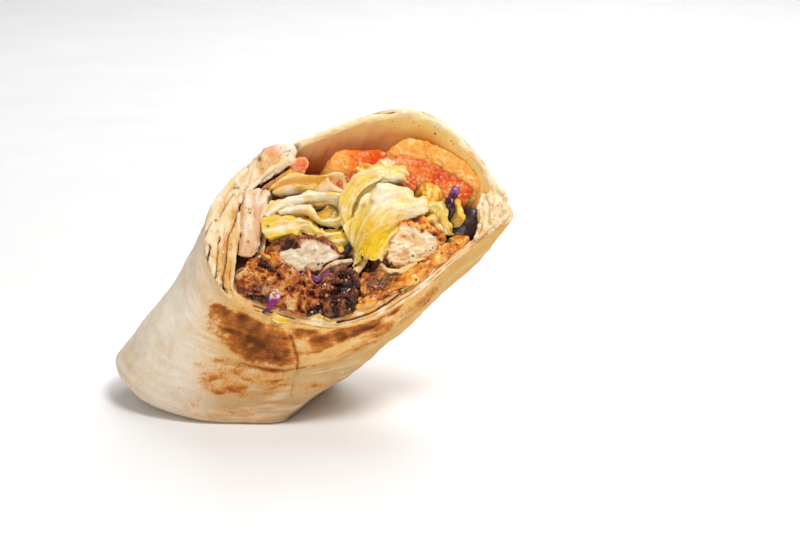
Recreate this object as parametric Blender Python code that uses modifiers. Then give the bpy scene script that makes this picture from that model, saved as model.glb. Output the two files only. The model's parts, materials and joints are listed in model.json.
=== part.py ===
"""Half of a chicken tender wrap, cut on the slant and standing on its folded end.

A flour tortilla is rolled round the fillings in several layers. Its closed end is folded flat
and carries the half; the slanted cut shows every filling. The fillings run from the cut down
into the roll, side by side, the way they were laid on the tortilla.

Shapes are worked out in millimetres in the frame of the cut: s runs to the right along the cut
face, t runs up it, and depth runs from 0 at the cut to 1 near the floor and 2 on it.
"""

import math

import bmesh
import bpy
import numpy as np
from mathutils import Vector, noise

MM = 0.001

# ---------------------------------------------------------------- driving dimensions (mm, degrees)

CUT_TILT = math.radians(28.0)
CUT_CENTRE = np.array([0.0, 0.0, 64.0])
FOOT_CENTRE = np.array([-44.0, 12.0])
AXIS_FOOT = np.array([-44.0, 12.0, 9.0])
ORIGIN = np.array([-16.72, 11.91, 0.0])

SIDES = 72
POCKET_DEPTH = 0.72
POCKET_TAPER_FROM = 0.60
GAP = 0.55
LEAF = 1.3
SLIT = 0.55
SMALL_CHUNK = 8.0

# Rim of the cut, as (s, t) points round the face. The last-but-few points make the right-hand tip.
RIM = [
    (-49.6, -8.2), (-48.0, 2.5), (-43.5, 9.5), (-38.6, 15.0), (-29.4, 20.8), (-17.6, 25.6),
    (-4.8, 30.8), (6.4, 34.6), (13.5, 35.4), (20.8, 34.4), (28.8, 29.4), (36.8, 21.4),
    (43.2, 12.2), (47.2, 4.5), (48.8, -1.2), (41.6, -6.2), (32.0, -13.8), (20.8, -23.7),
    (11.2, -30.5), (1.6, -35.1), (-8.0, -36.8), (-19.2, -35.1), (-31.4, -31.5), (-41.0, -27.6),
    (-46.1, -21.4), (-49.0, -14.6),
]

# Where the fillings' pocket opens in the cut. The tortilla is five sheets thick on the left,
# where its edge is folded in as a flap, and a single sheet along the top.
POCKET = [
    (-28.8, 0.0), (-29.6, 6.2), (-31.0, 9.8), (-25.3, 14.0), (-21.4, 17.1), (-20.6, 21.2),
    (-16.4, 23.8), (-4.8, 28.6), (5.8, 32.0), (12.8, 33.0), (20.8, 31.8), (28.8, 27.0),
    (35.2, 20.6), (39.6, 14.2), (41.4, 8.2), (39.4, 3.2), (39.6, -3.4), (37.4, -6.6),
    (25.6, -15.9), (12.8, -25.2), (1.6, -30.8), (-9.6, -33.9), (-22.4, -32.2), (-31.4, -28.8),
    (-38.0, -26.2), (-40.4, -22.6), (-39.6, -19.0), (-36.0, -16.4), (-31.4, -13.6), (-29.8, -8.2),
]

# The widest ring of the closed end, seen from above.
FOOT = [
    (-82, 16), (-78, -1), (-68, -12.5), (-53, -18.5), (-36, -20), (-25.5, -19.5), (-21.5, -14),
    (-15, 4), (-9, 22), (-13, 37), (-32, 45), (-55, 45), (-74, 35),
]

# How far the wall swells between rim and floor: (direction in degrees, mm).
SWELL = [
    (-180, -3.0), (-150, -1.0), (-120, 2.0), (-90, 3.0), (-60, 4.0), (-40, 4.5), (-20, 4.0),
    (0, 3.0), (20, 3.0), (45, 4.0), (90, 6.0), (130, 2.0), (160, -2.5), (180, -3.0),
]

# The overlap of the outermost sheet, as (direction in degrees, depth), and its height.
OVERLAP = [(-130, 0.48), (-115, 0.45), (-93, 0.42), (-73, 0.42), (-60, 0.27), (-45, 0.22), (-20, 0.27), (5, 0.3)]
OVERLAP_STEP = 1.1

# Gaps between the tortilla's sheets in the cut: (path across the face, depth in mm).
SLITS = {
    "slit_1": ([(-40.8, 6.6), (-42.6, 3.0), (-44.6, -0.6)], 9),
    "slit_2": ([(-45.2, -8.6), (-45.8, -13.5), (-45.6, -20.0)], 12),
    "slit_3": ([(-39.6, -0.8), (-41.6, -5.9), (-42.8, -11.5), (-43.4, -18.0), (-42.9, -25.0)], 16),
    "slit_4": ([(-37.6, -4.6), (-38.8, -9.8), (-39.9, -14.6)], 14),
    "slit_5": ([(-34.0, 4.4), (-35.0, -2.0), (-35.6, -8.0), (-36.4, -12.6)], 10),
    "slit_6": ([(-38.6, 8.0), (-34.6, 8.8), (-29.6, 11.6)], 9),
    "slit_7": ([(34.0, -10.4), (29.6, -14.0), (21.4, -21.2), (15.2, -25.6), (8.0, -29.6)], 10),
}

# Thin pieces: (path across the face, thickness, front and back depth in mm, points, rows, ruffle).
SHEETS = {
    "lettuce_fold_top": (
        [(-7.0, 9.4), (-7.8, 12.2), (-11.0, 13.5), (-18.0, 13.4), (-24.0, 12.2), (-27.6, 10.4),
         (-27.2, 8.6), (-23.6, 9.0), (-18.0, 9.9), (-14.6, 8.9), (-10.6, 10.4)],
        LEAF, -2.0, 26, 22, 4, 0.3),
    "lettuce_fold_middle": (
        [(-7.2, 5.6), (-11.6, 6.6), (-17.0, 6.4), (-22.0, 4.6), (-26.6, 2.4), (-27.2, 0.8),
         (-24.0, 1.2), (-20.2, 2.9), (-16.4, 1.6), (-12.8, -1.2), (-9.8, -2.2), (-7.0, -1.0)],
        LEAF, -2.5, 28, 24, 4, 0.3),
    "lettuce_fold_low": (
        [(-6.6, -4.9), (-11.0, -4.4), (-15.0, -2.9), (-18.5, -1.0), (-23.0, -2.0), (-26.6, -2.0),
         (-27.5, -3.8), (-26.2, -5.5), (-23.8, -6.0), (-21.6, -5.6)],
        LEAF, -2.5, 26, 20, 4, 0.3),
    "lettuce_tail": (
        [(-21.0, -3.4), (-16.8, -4.9), (-13.0, -6.9), (-9.8, -9.2), (-6.6, -10.3)],
        LEAF, -1.5, 22, 10, 4, 0.3),
    "lettuce_frill": (
        [(20.6, 1.2), (22.2, 3.0), (24.8, 3.9), (27.0, 2.6), (26.9, -0.2), (28.6, -2.6), (29.8, -5.2)],
        1.2, -2.5, 18, 14, 4, 0.3),
    "lettuce_frill_inner": (
        [(22.2, -0.6), (24.1, 0.9), (24.8, -1.2), (26.2, -3.2)], 1.1, -1.5, 14, 10, 4, 0.2),
    "lettuce_bit_left": ([(-27.0, -28.6), (-25.4, -29.6), (-23.0, -30.5)], 1.2, -2.0, 8, 6, 3, 0.2),
    "lettuce_bit_right": ([(-16.6, -32.0), (-13.6, -32.3), (-10.2, -32.6)], 1.2, -2.0, 10, 6, 3, 0.2),
    "cabbage_middle": ([(-18.6, -19.4), (-15.6, -20.5), (-12.2, -20.2), (-9.6, -18.9)], 1.5, -1.5, 14, 8, 3, 0.2),
    "cabbage_left": ([(-26.4, -24.6), (-26.8, -26.4), (-28.3, -28.0)], 1.8, -2.5, 12, 6, 3, 0.2),
    "cabbage_right": ([(30.6, 8.3), (29.9, 5.6), (28.9, 4.0)], 1.7, -1.0, 16, 6, 3, 0.2),
    "cabbage_dark": ([(-2.6, -9.0), (-3.9, -11.2), (-4.7, -13.4)], 1.6, -1.0, 16, 6, 3, 0.2),
    "onion_left": ([(-10.6, -17.2), (-7.0, -16.3), (-3.0, -15.6)], 1.3, -1.5, 12, 7, 3, 0.2),
    "onion_right": ([(6.9, -16.9), (10.0, -18.2), (14.0, -18.1), (17.2, -16.6)], 1.3, -1.5, 12, 8, 3, 0.2),
    "cheese_shred": ([(31.5, 4.4), (31.8, 2.0), (31.4, -0.2), (32.2, -2.4)], 1.7, -1.5, 4, 7, 2, 0.0),
    "cheese_strip": ([(-1.2, 15.5), (1.4, 16.4), (4.0, 16.6)], 1.5, 1.0, 8, 6, 2, 0.0),
}

# Black beans: (centre, half length, half width, long axis in degrees, depth of the middle in mm).
BEANS = {
    "bean_right": ((36.0, 0.6), 3.9, 2.6, 62, 6.0),
    "bean_middle": ((29.4, -8.2), 2.6, 2.0, 20, 3.5),
}

# The crumpled leaf in the middle: (outline, centre, front and back depth in mm).
HEART = (
    [(-6.0, 2.0), (-5.2, 7.6), (-2.6, 11.8), (4.6, 15.4), (13.0, 16.2), (14.4, 11.0), (19.0, 5.6),
     (19.4, 1.4), (14.6, -1.2), (10.6, -6.0), (8.8, -12.0), (4.0, -15.6), (-0.6, -15.6), (-3.0, -8.0)],
    (4.0, 0.0), -4.5, 34)

# A thick piece from its back end (-90) to its cut face (90): width as a share, depth in mm.
CHUNK_PROFILE = [
    (-90, -70, -50, -10, 36, 54, 72, 90),
    (0, 0.6, 0.9, 1.0, 1.0, 0.93, 0.7, 0),
    (42, 41, 37, 20, 3, 0.8, 0.1, 0),
]

# Thick pieces: (outline, centre, front depth in mm, roughness of the surface, material).
CHUNKS = {
    "chicken_white_left": (
        [(-30.0, -15.0), (-28.8, -11.0), (-25.6, -8.4), (-19.0, -7.3), (-12.2, -7.8), (-6.8, -11.8),
         (-5.6, -14.2), (-9.8, -16.6), (-16.0, -18.6), (-22.4, -18.4), (-28.0, -17.4)],
        (-17.5, -13.2), -1.5, 0.04, "white_meat"),
    "chicken_white_right": (
        [(8.6, -13.6), (8.8, -8.6), (11.4, -4.4), (14.4, -1.6), (19.2, -0.4), (22.6, -3.4),
         (27.0, -7.4), (25.6, -11.8), (20.8, -15.2), (15.0, -16.9), (9.8, -16.2)],
        (17.0, -9.0), -1.5, 0.07, "white_meat"),
    "chicken_crisp_left": (
        [(-40.0, -21.7), (-38.4, -18.0), (-34.4, -15.6), (-27.2, -17.6), (-22.6, -20.0),
         (-22.2, -24.6), (-24.3, -28.2), (-31.4, -29.4), (-37.4, -26.8)],
        (-31.0, -22.0), -2.0, 0.12, "crust"),
    "chicken_crisp_middle": (
        [(-22.2, -24.0), (-20.5, -20.6), (-15.4, -20.4), (-12.4, -23.3), (-11.4, -27.9),
         (-14.7, -33.2), (-19.8, -33.4), (-22.6, -28.9)],
        (-16.8, -26.5), -2.5, 0.12, "crust"),
    "chicken_dark": (
        [(-12.6, -22.7), (-10.4, -19.9), (-4.8, -17.8), (-1.0, -20.0), (-0.4, -26.3),
         (-2.0, -32.0), (-5.8, -34.4), (-10.2, -33.2), (-11.4, -28.3)],
        (-6.5, -26.0), -3.0, 0.12, "dark_crust"),
    "chicken_crisp_right": (
        [(0.2, -22.0), (3.8, -18.4), (12.8, -18.6), (20.0, -15.6), (27.4, -9.8), (31.6, -9.4),
         (31.2, -12.6), (25.4, -16.6), (17.8, -22.6), (10.2, -27.6), (1.9, -31.4), (0.0, -27.9)],
        (16.0, -19.6), -1.5, 0.1, "crust"),
    "cheese_clump": (
        [(19.4, 8.0), (21.0, 10.4), (24.4, 9.6), (26.2, 6.6), (24.6, 4.6), (21.2, 4.4)],
        (22.8, 7.2), -1.0, 0.1, "cheese"),
    "cheese_upper": (
        [(5.8, 17.4), (7.6, 18.8), (10.4, 18.0), (10.8, 15.6), (8.0, 15.2), (5.8, 15.8)],
        (8.2, 17.0), 0.5, 0.08, "cheese"),
    "tomato_bit_left": (
        [(14.6, 11.0), (15.2, 13.4), (17.6, 13.6), (18.2, 10.6), (17.2, 8.4), (15.4, 8.8)],
        (16.4, 11.0), 0.0, 0.06, "tomato"),
    "tomato_slice_lower": (
        [(10.6, 18.7), (12.8, 21.0), (20.8, 19.4), (28.8, 15.4), (36.5, 10.2), (35.2, 6.9),
         (30.4, 6.2), (22.4, 10.5), (16.0, 13.6), (11.5, 16.1)],
        (24.0, 13.5), 1.0, 0.04, "tomato"),
    "tomato_slice_upper": (
        [(10.2, 21.4), (11.5, 25.3), (16.0, 27.3), (22.4, 26.6), (30.4, 23.0), (36.8, 17.7),
         (40.3, 12.5), (37.8, 10.8), (30.4, 15.4), (22.4, 19.7), (14.4, 21.4)],
        (26.0, 20.5), 3.5, 0.04, "tomato"),
    "tomato_dice": (
        [(-8.3, 19.0), (-6.1, 22.3), (0.0, 23.3), (9.0, 22.7), (9.8, 18.7), (6.4, 15.6),
         (-2.6, 14.9), (-7.4, 16.1)],
        (1.0, 19.2), 1.5, 0.05, "tomato"),
    "tomato_wedge": (
        [(-5.2, 13.6), (-2.4, 14.4), (1.0, 14.6), (-1.4, 11.6), (-5.0, 8.4), (-6.6, 10.8)],
        (-4.2, 12.4), 1.5, 0.05, "tomato"),
    "tomato_small": (
        [(-20.0, 18.4), (-17.4, 18.8), (-16.8, 15.8), (-18.0, 14.8), (-20.0, 15.2)],
        (-18.4, 16.9), 0.5, 0.05, "tomato"),
}

COLOURS = {
    "tortilla": (0.86, 0.71, 0.49, 0.75),
    "white_meat": (0.86, 0.70, 0.50, 0.60),
    "crust": (0.42, 0.17, 0.05, 0.45),
    "dark_crust": (0.13, 0.045, 0.02, 0.35),
    "tomato": (0.85, 0.22, 0.05, 0.25),
    "leaf": (0.80, 0.76, 0.22, 0.40),
    "cabbage": (0.20, 0.03, 0.16, 0.35),
    "onion": (0.86, 0.76, 0.56, 0.35),
    "cheese": (0.90, 0.55, 0.12, 0.40),
    "bean": (0.03, 0.02, 0.025, 0.30),
}

SHEET_MATERIALS = {"lettuce": "leaf", "cabbage": "cabbage", "onion": "onion", "cheese": "cheese"}


# ---------------------------------------------------------------- curves in the plane of the cut

def smooth_curve(points, steps, closed=True):
    """A curve that passes through every point, with this many steps from each to the next."""
    points = np.asarray(points, float)
    count = len(points)
    along = np.arange(steps)[:, None] / steps
    pieces = []
    for i in range(count if closed else count - 1):
        around = [(i + k) % count if closed else min(max(i + k, 0), count - 1) for k in (-1, 0, 1, 2)]
        a, b, c, d = points[around]
        bend = (2 * a - 5 * b + 4 * c - d) + along * (3 * b - a - 3 * c + d)
        pieces.append(b + 0.5 * along * ((c - a) + along * bend))
    if not closed:
        pieces.append(points[-1:])
    return np.concatenate(pieces)


def resampled(curve, count):
    """This many points at equal steps along an open curve."""
    lengths = np.hypot(*np.diff(curve, axis=0).T)
    travelled = np.concatenate([[0], np.cumsum(lengths)])
    at = np.linspace(0, travelled[-1], count)
    return np.stack([np.interp(at, travelled, curve[:, k]) for k in (0, 1)], axis=1)


def polar_table(outline, centre=(0, 0)):
    """Directions and distances of a closed outline, seen from a point inside it."""
    curve = smooth_curve(outline, 16) - np.asarray(centre, float)
    angles = np.arctan2(curve[:, 1], curve[:, 0])
    order = np.argsort(angles)
    return angles[order], np.hypot(*curve.T)[order]


def reach(table, angles):
    return np.interp(angles, *table, period=2 * math.pi)


def distance_to(points, curve, closed):
    """Distance from each point to a curve; inside a closed one it is negative."""
    starts = curve if closed else curve[:-1]
    ends = np.roll(curve, -1, axis=0) if closed else curve[1:]
    spans = ends - starts
    offsets = points[..., None, :] - starts
    share = np.clip((offsets * spans).sum(-1) / (spans * spans).sum(-1), 0, 1)
    nearest = np.linalg.norm(offsets - share[..., None] * spans, axis=-1).min(-1)
    if not closed:
        return nearest
    rises = (starts[:, 1] > points[..., None, 1]) != (ends[:, 1] > points[..., None, 1])
    slope = np.where(spans[:, 1] == 0, 1, spans[:, 1])
    crossing = starts[:, 0] + offsets[..., 1] * spans[:, 0] / slope
    inside_it = (rises & (points[..., None, 0] < crossing)).sum(-1) % 2 == 1
    return np.where(inside_it, -nearest, nearest)


# ---------------------------------------------------------------- from the cut into the roll

RIM_TABLE = polar_table(RIM)
POCKET_TABLE = polar_table(POCKET)
FOOT_TABLE = polar_table(FOOT, FOOT_CENTRE)
OUT_OF_CUT = np.array([0.0, -math.cos(CUT_TILT), math.sin(CUT_TILT)])
ROLL_LENGTH = float(np.linalg.norm(CUT_CENTRE - AXIS_FOOT))
UP_THE_ROLL = (CUT_CENTRE - AXIS_FOOT) / ROLL_LENGTH


def on_cut(s, t):
    """The point of the cut face at (s, t)."""
    return np.stack([s, t * math.sin(CUT_TILT), t * math.cos(CUT_TILT)], axis=-1) + CUT_CENTRE


def unevenness(angle, depth):
    """Soft dents of the wall and the step of the outer sheet's overlap, in mm outwards."""
    fade = np.sin(math.pi * np.clip(depth, 0, 1))
    dents = 0.45 * np.sin(5 * angle + 7 * depth) + 0.3 * np.sin(11 * angle - 9 * depth + 2)
    degrees = np.degrees(np.arctan2(np.sin(angle), np.cos(angle)))
    line = np.interp(degrees, *zip(*OVERLAP))
    within = np.clip((degrees - OVERLAP[0][0]) / 12, 0, 1) * np.clip((OVERLAP[-1][0] - degrees) / 12, 0, 1)
    step = np.clip((line - depth) / 0.03 + 0.5, 0, 1) * np.clip(depth / 0.12, 0, 1)
    return dents * fade + OVERLAP_STEP * step * within


def wall(angle, depth):
    """Points of the roll's outer surface."""
    angle, depth = np.broadcast_arrays(np.asarray(angle, float), np.asarray(depth, float))
    around, across = np.cos(angle), np.sin(angle)
    left = np.maximum(0, -around) ** 1.5
    back = np.maximum(0, across)
    rim = on_cut(reach(RIM_TABLE, angle) * around, reach(RIM_TABLE, angle) * across)
    flat = np.stack([around, across], axis=-1)
    side = FOOT_CENTRE + reach(FOOT_TABLE, angle)[..., None] * flat
    height = 2.5 + 9 * left + 5 * back
    inset = 2.5 + 15 * left + 5 * back
    belly = np.concatenate([side, height[..., None]], axis=-1)
    chord = (belly - rim) / np.linalg.norm(belly - rim, axis=-1, keepdims=True)
    out = np.stack([around, 0.9 * across, 0 * around], axis=-1)
    out = out - chord * (out * chord).sum(-1, keepdims=True)
    out /= np.linalg.norm(out, axis=-1, keepdims=True)
    degrees = np.degrees(np.arctan2(across, around))
    swell = np.interp(degrees, *zip(*SWELL))
    upper = np.clip(depth, 0, 1)
    lift = swell * np.sin(math.pi * upper ** 0.9) + unevenness(angle, upper)
    high = rim + (belly - rim) * upper[..., None] + out * lift[..., None]
    turn = np.clip(depth - 1, 0, 1) * math.pi / 2
    low_flat = side - flat * (inset * (1 - np.cos(turn)))[..., None]
    low = np.concatenate([low_flat, (height * (1 - np.sin(turn)))[..., None]], axis=-1)
    return np.where((depth <= 1)[..., None], high, low)


def inside(s, t, depth):
    """The point that lies under (s, t) of the cut, this deep in the roll or, below 0, in front."""
    s, t, depth = np.broadcast_arrays(*(np.asarray(value, float) for value in (s, t, depth)))
    angle = np.arctan2(t, s)
    share = (np.hypot(s, t) / reach(RIM_TABLE, angle))[..., None]
    below = np.clip(depth, 0, 1)
    axis = CUT_CENTRE + (AXIS_FOOT - CUT_CENTRE) * below[..., None]
    point = axis * (1 - share) + wall(angle, below) * share
    return point + UP_THE_ROLL * (np.maximum(0, -depth) * ROLL_LENGTH)[..., None]


# ---------------------------------------------------------------- Blender helpers

def clear_scene():
    for thing in list(bpy.data.objects):
        bpy.data.objects.remove(thing, do_unlink=True)


def new_collection(name):
    collection = bpy.data.collections.new(name)
    bpy.context.scene.collection.children.link(collection)
    return collection


def new_material(name):
    red, green, blue, roughness = COLOURS[name]
    material = bpy.data.materials.new(name)
    material.use_nodes = True
    shader = material.node_tree.nodes["Principled BSDF"]
    shader.inputs["Base Color"].default_value = (red, green, blue, 1)
    shader.inputs["Roughness"].default_value = roughness
    shader.inputs["Metallic"].default_value = 0
    return material


def to_metres(points):
    return (points - ORIGIN) * MM


def new_object(name, bm, collection, material=None):
    mesh = bpy.data.meshes.new(name)
    bm.to_mesh(mesh)
    bm.free()
    mesh.shade_smooth()
    mesh.set_sharp_from_angle(angle=math.radians(40))
    thing = bpy.data.objects.new(name, mesh)
    collection.objects.link(thing)
    if material:
        mesh.materials.append(material)
    return thing


def face_outward(bm):
    """Turns the faces of a closed mesh alike, and then outwards."""
    bmesh.ops.recalc_face_normals(bm, faces=bm.faces)
    if bm.calc_volume(signed=True) < 0:
        bmesh.ops.reverse_faces(bm, faces=bm.faces)


def move_vertices(bm, place):
    """Sends every vertex of a unit primitive to place(x, y, z), which gives millimetres."""
    corners = np.array([vertex.co[:] for vertex in bm.verts])
    for vertex, point in zip(bm.verts, to_metres(place(*corners.T))):
        vertex.co = point


def roughened(points, scale):
    """A noise value from about -1 to 1 at each point, for a feature size in millimetres."""
    return np.array([noise.noise(Vector(point / scale)) for point in points.reshape(-1, 3)])


# ---------------------------------------------------------------- the tortilla

def rim_angles():
    """Directions round the rim at equal steps along it, so that its tip keeps its point."""
    curve = smooth_curve(RIM, 60)
    closed = np.concatenate([curve, curve[:1]])
    even = resampled(closed, SIDES + 1)[:-1]
    return np.sort(np.arctan2(even[:, 1], even[:, 0]))


def tortilla_rings():
    """Rings of the shell: up the outside, over the cut edge and down into the pocket."""
    angles = rim_angles()
    ragged = 0.5 * np.sin(9 * angles) + 0.4 * np.sin(17 * angles + 1)
    outer_depths = [2, 1.7, 1.4, 1.2, 1, 0.88, 0.76, 0.65, 0.55, 0.48, 0.43, 0.37, 0.3, 0.24, 0.18, 0.1, 0.04, 0]
    rings = [wall(angles, depth) for depth in outer_depths]
    rings[-1] = rings[-1] + OUT_OF_CUT * ragged[:, None]
    mouth = reach(POCKET_TABLE, angles)
    for depth in (0, 0.06, 0.18, 0.32, 0.46, POCKET_TAPER_FROM, 0.67, POCKET_DEPTH):
        shrink = 1 - 2.2 * max(0, depth - POCKET_TAPER_FROM)
        s, t = mouth * shrink * np.cos(angles), mouth * shrink * np.sin(angles)
        rings.append(inside(s, t, depth))
    rings[len(outer_depths)] = rings[len(outer_depths)] + OUT_OF_CUT * (0.7 * ragged[:, None])
    return rings


def make_tortilla(collection, material):
    """A loft from the floor over the rim into the pocket, closed at both ends."""
    bm = bmesh.new()
    rows = [[bm.verts.new(point) for point in to_metres(ring)] for ring in tortilla_rings()]
    for lower, upper in zip(rows, rows[1:]):
        for i in range(SIDES):
            j = (i + 1) % SIDES
            bm.faces.new((lower[i], lower[j], upper[j], upper[i]))
    for row in (rows[0], rows[-1]):
        middle = bm.verts.new(sum((vertex.co for vertex in row), Vector()) / SIDES)
        for i in range(SIDES):
            bm.faces.new((row[i], row[(i + 1) % SIDES], middle))
    face_outward(bm)
    return new_object("tortilla", bm, collection, material)


def cut_slits(tortilla, cutters):
    for name, (path, depth) in SLITS.items():
        cutter = make_sheet(name, path, SLIT, -3, depth, 3 * len(path), 2, 0, cutters)
        cutter.hide_render = True
        cutter.display_type = "WIRE"
        cut = tortilla.modifiers.new(name, "BOOLEAN")
        cut.operation = "DIFFERENCE"
        # The exact solver loses the shell where a gap runs close along the thin lower wall.
        cut.solver = "MANIFOLD"
        cut.object = cutter


# ---------------------------------------------------------------- thin pieces

def sheet_points(curve, thickness, depths, ruffle, side):
    """The points of one face of a sheet, row by row into the roll, in metres."""
    tangent = np.gradient(curve, axis=0)
    tangent /= np.linalg.norm(tangent, axis=1, keepdims=True)
    normal = np.stack([-tangent[:, 1], tangent[:, 0]], axis=1)
    column = np.arange(len(curve))
    half = 0.5 * thickness * np.where((column == 0) | (column == column[-1]), 0.6, 1.0)
    rows = []
    for row, depth in enumerate(depths):
        wave = ruffle * np.sin(1.3 * column + 0.8 * row)
        s, t = (curve + normal * (wave + side * half)[:, None]).T
        frill = 2.5 * ruffle * np.sin(0.9 * column) if row == 0 else 0
        rows.append(to_metres(inside(s, t, (depth + frill) / ROLL_LENGTH)))
    return rows


def make_sheet(name, path, thickness, front, back, points, rows, ruffle, collection, material=None):
    """A thin wavy piece whose edge follows a path across the cut and which runs into the roll.

    Its two faces are split into triangles alike, so that it is equally thin all over.
    """
    curve = resampled(smooth_curve(path, 12, closed=False), points + 1)
    first = max(front, 0)
    # A sheet that stands proud keeps a row of points in the plane of the cut, where it bends.
    depths = [front] * (front < 0) + list(np.linspace(first, back, rows + (front >= 0)))
    bm = bmesh.new()
    near, far = (
        [[bm.verts.new(point) for point in row] for row in sheet_points(curve, thickness, depths, ruffle, side)]
        for side in (-1, 1)
    )
    for i in range(rows):
        for j in range(points):
            for a, b, c, d in (
                (near[i][j], near[i][j + 1], near[i + 1][j + 1], near[i + 1][j]),
                (far[i][j], far[i + 1][j], far[i + 1][j + 1], far[i][j + 1]),
            ):
                bm.faces.new((a, b, c))
                bm.faces.new((a, c, d))
        for j in (0, points):
            bm.faces.new((near[i][j], near[i + 1][j], far[i + 1][j], far[i][j]))
    for i in (0, rows):
        for j in range(points):
            bm.faces.new((near[i][j], far[i][j], far[i][j + 1], near[i][j + 1]))
    face_outward(bm)
    return new_object(name, bm, collection, material)


# ---------------------------------------------------------------- thick pieces

def squeezed(outline, centre, kept_clear, sides):
    """The outline's distances in each direction, pulled in where neighbours or the wall are."""
    centre = np.asarray(centre, float)
    angles = np.linspace(-math.pi, math.pi, sides, endpoint=False)
    wanted = reach(polar_table(outline, centre), angles)
    steps = np.linspace(0.05, 1, 60)
    rays = np.stack([np.cos(angles), np.sin(angles)], axis=-1)
    points = centre + rays[:, None] * (wanted[:, None] * steps)[..., None]
    free = -distance_to(points, smooth_curve(POCKET, 8), True) > GAP
    for curve, closed, margin in kept_clear:
        free &= distance_to(points, curve, closed) > margin
    furthest = np.cumprod(free, axis=1).sum(axis=1)
    distances = wanted * steps[np.maximum(furthest, 1) - 1]
    return angles, distances


def make_chunk(name, outline, centre, front, rough, kept_clear, collection, material):
    """A rounded piece that fills its share of the cut and runs down into the roll."""
    small = np.ptp(np.asarray(outline), axis=0).max() < SMALL_CHUNK
    sides, rings = (14, 8) if small else (20, 10)
    angles, distances = squeezed(outline, centre, kept_clear, sides)

    def place(x, y, z):
        angle = np.arctan2(y, x)
        latitude = np.degrees(np.arcsin(np.clip(z, -1, 1)))
        share, deep = (np.interp(latitude, CHUNK_PROFILE[0], row) for row in CHUNK_PROFILE[1:])
        bumps = roughened(np.stack([x, y, z], axis=-1) * distances.mean() + front, 2.6)
        distance = np.interp(angle, angles, distances, period=2 * math.pi) * share
        distance = distance * (1 - rough * (1 + bumps))
        s, t = centre[0] + distance * np.cos(angle), centre[1] + distance * np.sin(angle)
        crag = 8 * rough * bumps * (latitude > 40)
        return inside(s, t, (front + deep + crag) / ROLL_LENGTH)

    bm = bmesh.new()
    bmesh.ops.create_uvsphere(bm, u_segments=sides, v_segments=rings, radius=1)
    move_vertices(bm, place)
    rays = np.stack([np.cos(angles), np.sin(angles)], axis=-1)
    kept_clear.append((np.asarray(centre) + rays * distances[:, None], True, GAP))
    return new_object(name, bm, collection, material)


def make_bean(name, centre, half_length, half_width, turn, middle, collection, material):
    """A bean, slightly dented along one side."""
    along = np.array([math.cos(math.radians(turn)), math.sin(math.radians(turn))])
    across = np.array([-along[1], along[0]])

    def place(x, y, z):
        dent = -0.25 * half_width * (1 - x * x)
        s, t = (np.outer(x * half_length, along) + np.outer(y * half_width + dent, across)).T
        return inside(centre[0] + s, centre[1] + t, (middle - z * half_width) / ROLL_LENGTH)

    bm = bmesh.new()
    bmesh.ops.create_uvsphere(bm, u_segments=16, v_segments=10, radius=1)
    move_vertices(bm, place)
    return new_object(name, bm, collection, material)


def make_heart(collection, material, sides=26, rings=16):
    """A crumpled leaf that cups out of the cut and whose sides run down into the roll."""
    outline, centre, front, back = HEART
    table = polar_table(outline, centre)

    def place(x, y, z):
        angle = np.arctan2(y, x)
        roundness = np.maximum(0, 1 - z * z) ** 0.3
        folds = 0.5 + 0.5 * np.sin(5 * angle + 4 * z)
        distance = (reach(table, angle) - 0.9) * roundness * (1 - 0.06 * folds)
        s, t = centre[0] + distance * np.cos(angle), centre[1] + distance * np.sin(angle)
        crumple = 1.2 * np.sin(0.55 * s + 0.35 * t) * (z > 0.25)
        return inside(s, t, (front + (back - front) * (1 - z) ** 1.5 + crumple) / ROLL_LENGTH)

    bm = bmesh.new()
    bmesh.ops.create_uvsphere(bm, u_segments=sides, v_segments=rings, radius=1)
    behind = [vertex for vertex in bm.verts if vertex.co.z < 0.02]
    bmesh.ops.delete(bm, geom=behind, context="VERTS")
    move_vertices(bm, place)
    thing = new_object("lettuce_heart", bm, collection, material)
    thing.modifiers.new("Alike", "TRIANGULATE")
    solid = thing.modifiers.new("Thickness", "SOLIDIFY")
    solid.thickness = LEAF * MM
    solid.offset = -1
    return thing


# ---------------------------------------------------------------- the whole wrap

def main():
    clear_scene()
    wrap = new_collection("chicken_wrap")
    cutters = new_collection("cutters")
    materials = {name: new_material(name) for name in COLOURS}

    tortilla = make_tortilla(wrap, materials["tortilla"])
    cut_slits(tortilla, cutters)

    kept_clear = [(smooth_curve(HEART[0], 8), True, GAP)]
    for name, (path, thickness, front, back, points, rows, ruffle) in SHEETS.items():
        material = materials[SHEET_MATERIALS[name.split("_")[0]]]
        make_sheet(name, path, thickness, front, back, points, rows, ruffle, wrap, material)
        kept_clear.append((smooth_curve(path, 6, closed=False), False, thickness / 2 + ruffle + GAP))
    for name, (centre, half_length, half_width, turn, middle) in BEANS.items():
        make_bean(name, centre, half_length, half_width, turn, middle, wrap, materials["bean"])
        ring = np.linspace(0, 2 * math.pi, 24, endpoint=False)
        along = math.radians(turn)
        x, y = half_length * np.cos(ring), 1.3 * half_width * np.sin(ring)
        oval = np.stack([x * math.cos(along) - y * math.sin(along), x * math.sin(along) + y * math.cos(along)], 1)
        kept_clear.append((np.asarray(centre) + oval, True, GAP))
    make_heart(wrap, materials["leaf"])
    for name, (outline, centre, front, rough, material) in CHUNKS.items():
        make_chunk(name, outline, centre, front, rough, kept_clear, wrap, materials[material])


main()
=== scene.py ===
# %% [markdown]
# # Half a chicken tender wrap, seen from its cut
# This lesson dresses a plain model of a wrap: a toasted tortilla with its torn, floury layers, and
# a cut full of crisp chicken, lettuce, tomato, cheese, cabbage and beans. The plain model comes in
# first as a frame. Each cell then makes one food, and says what it is and how it could be made.

# %% Load the plain model
import itertools
import json
import math

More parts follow.
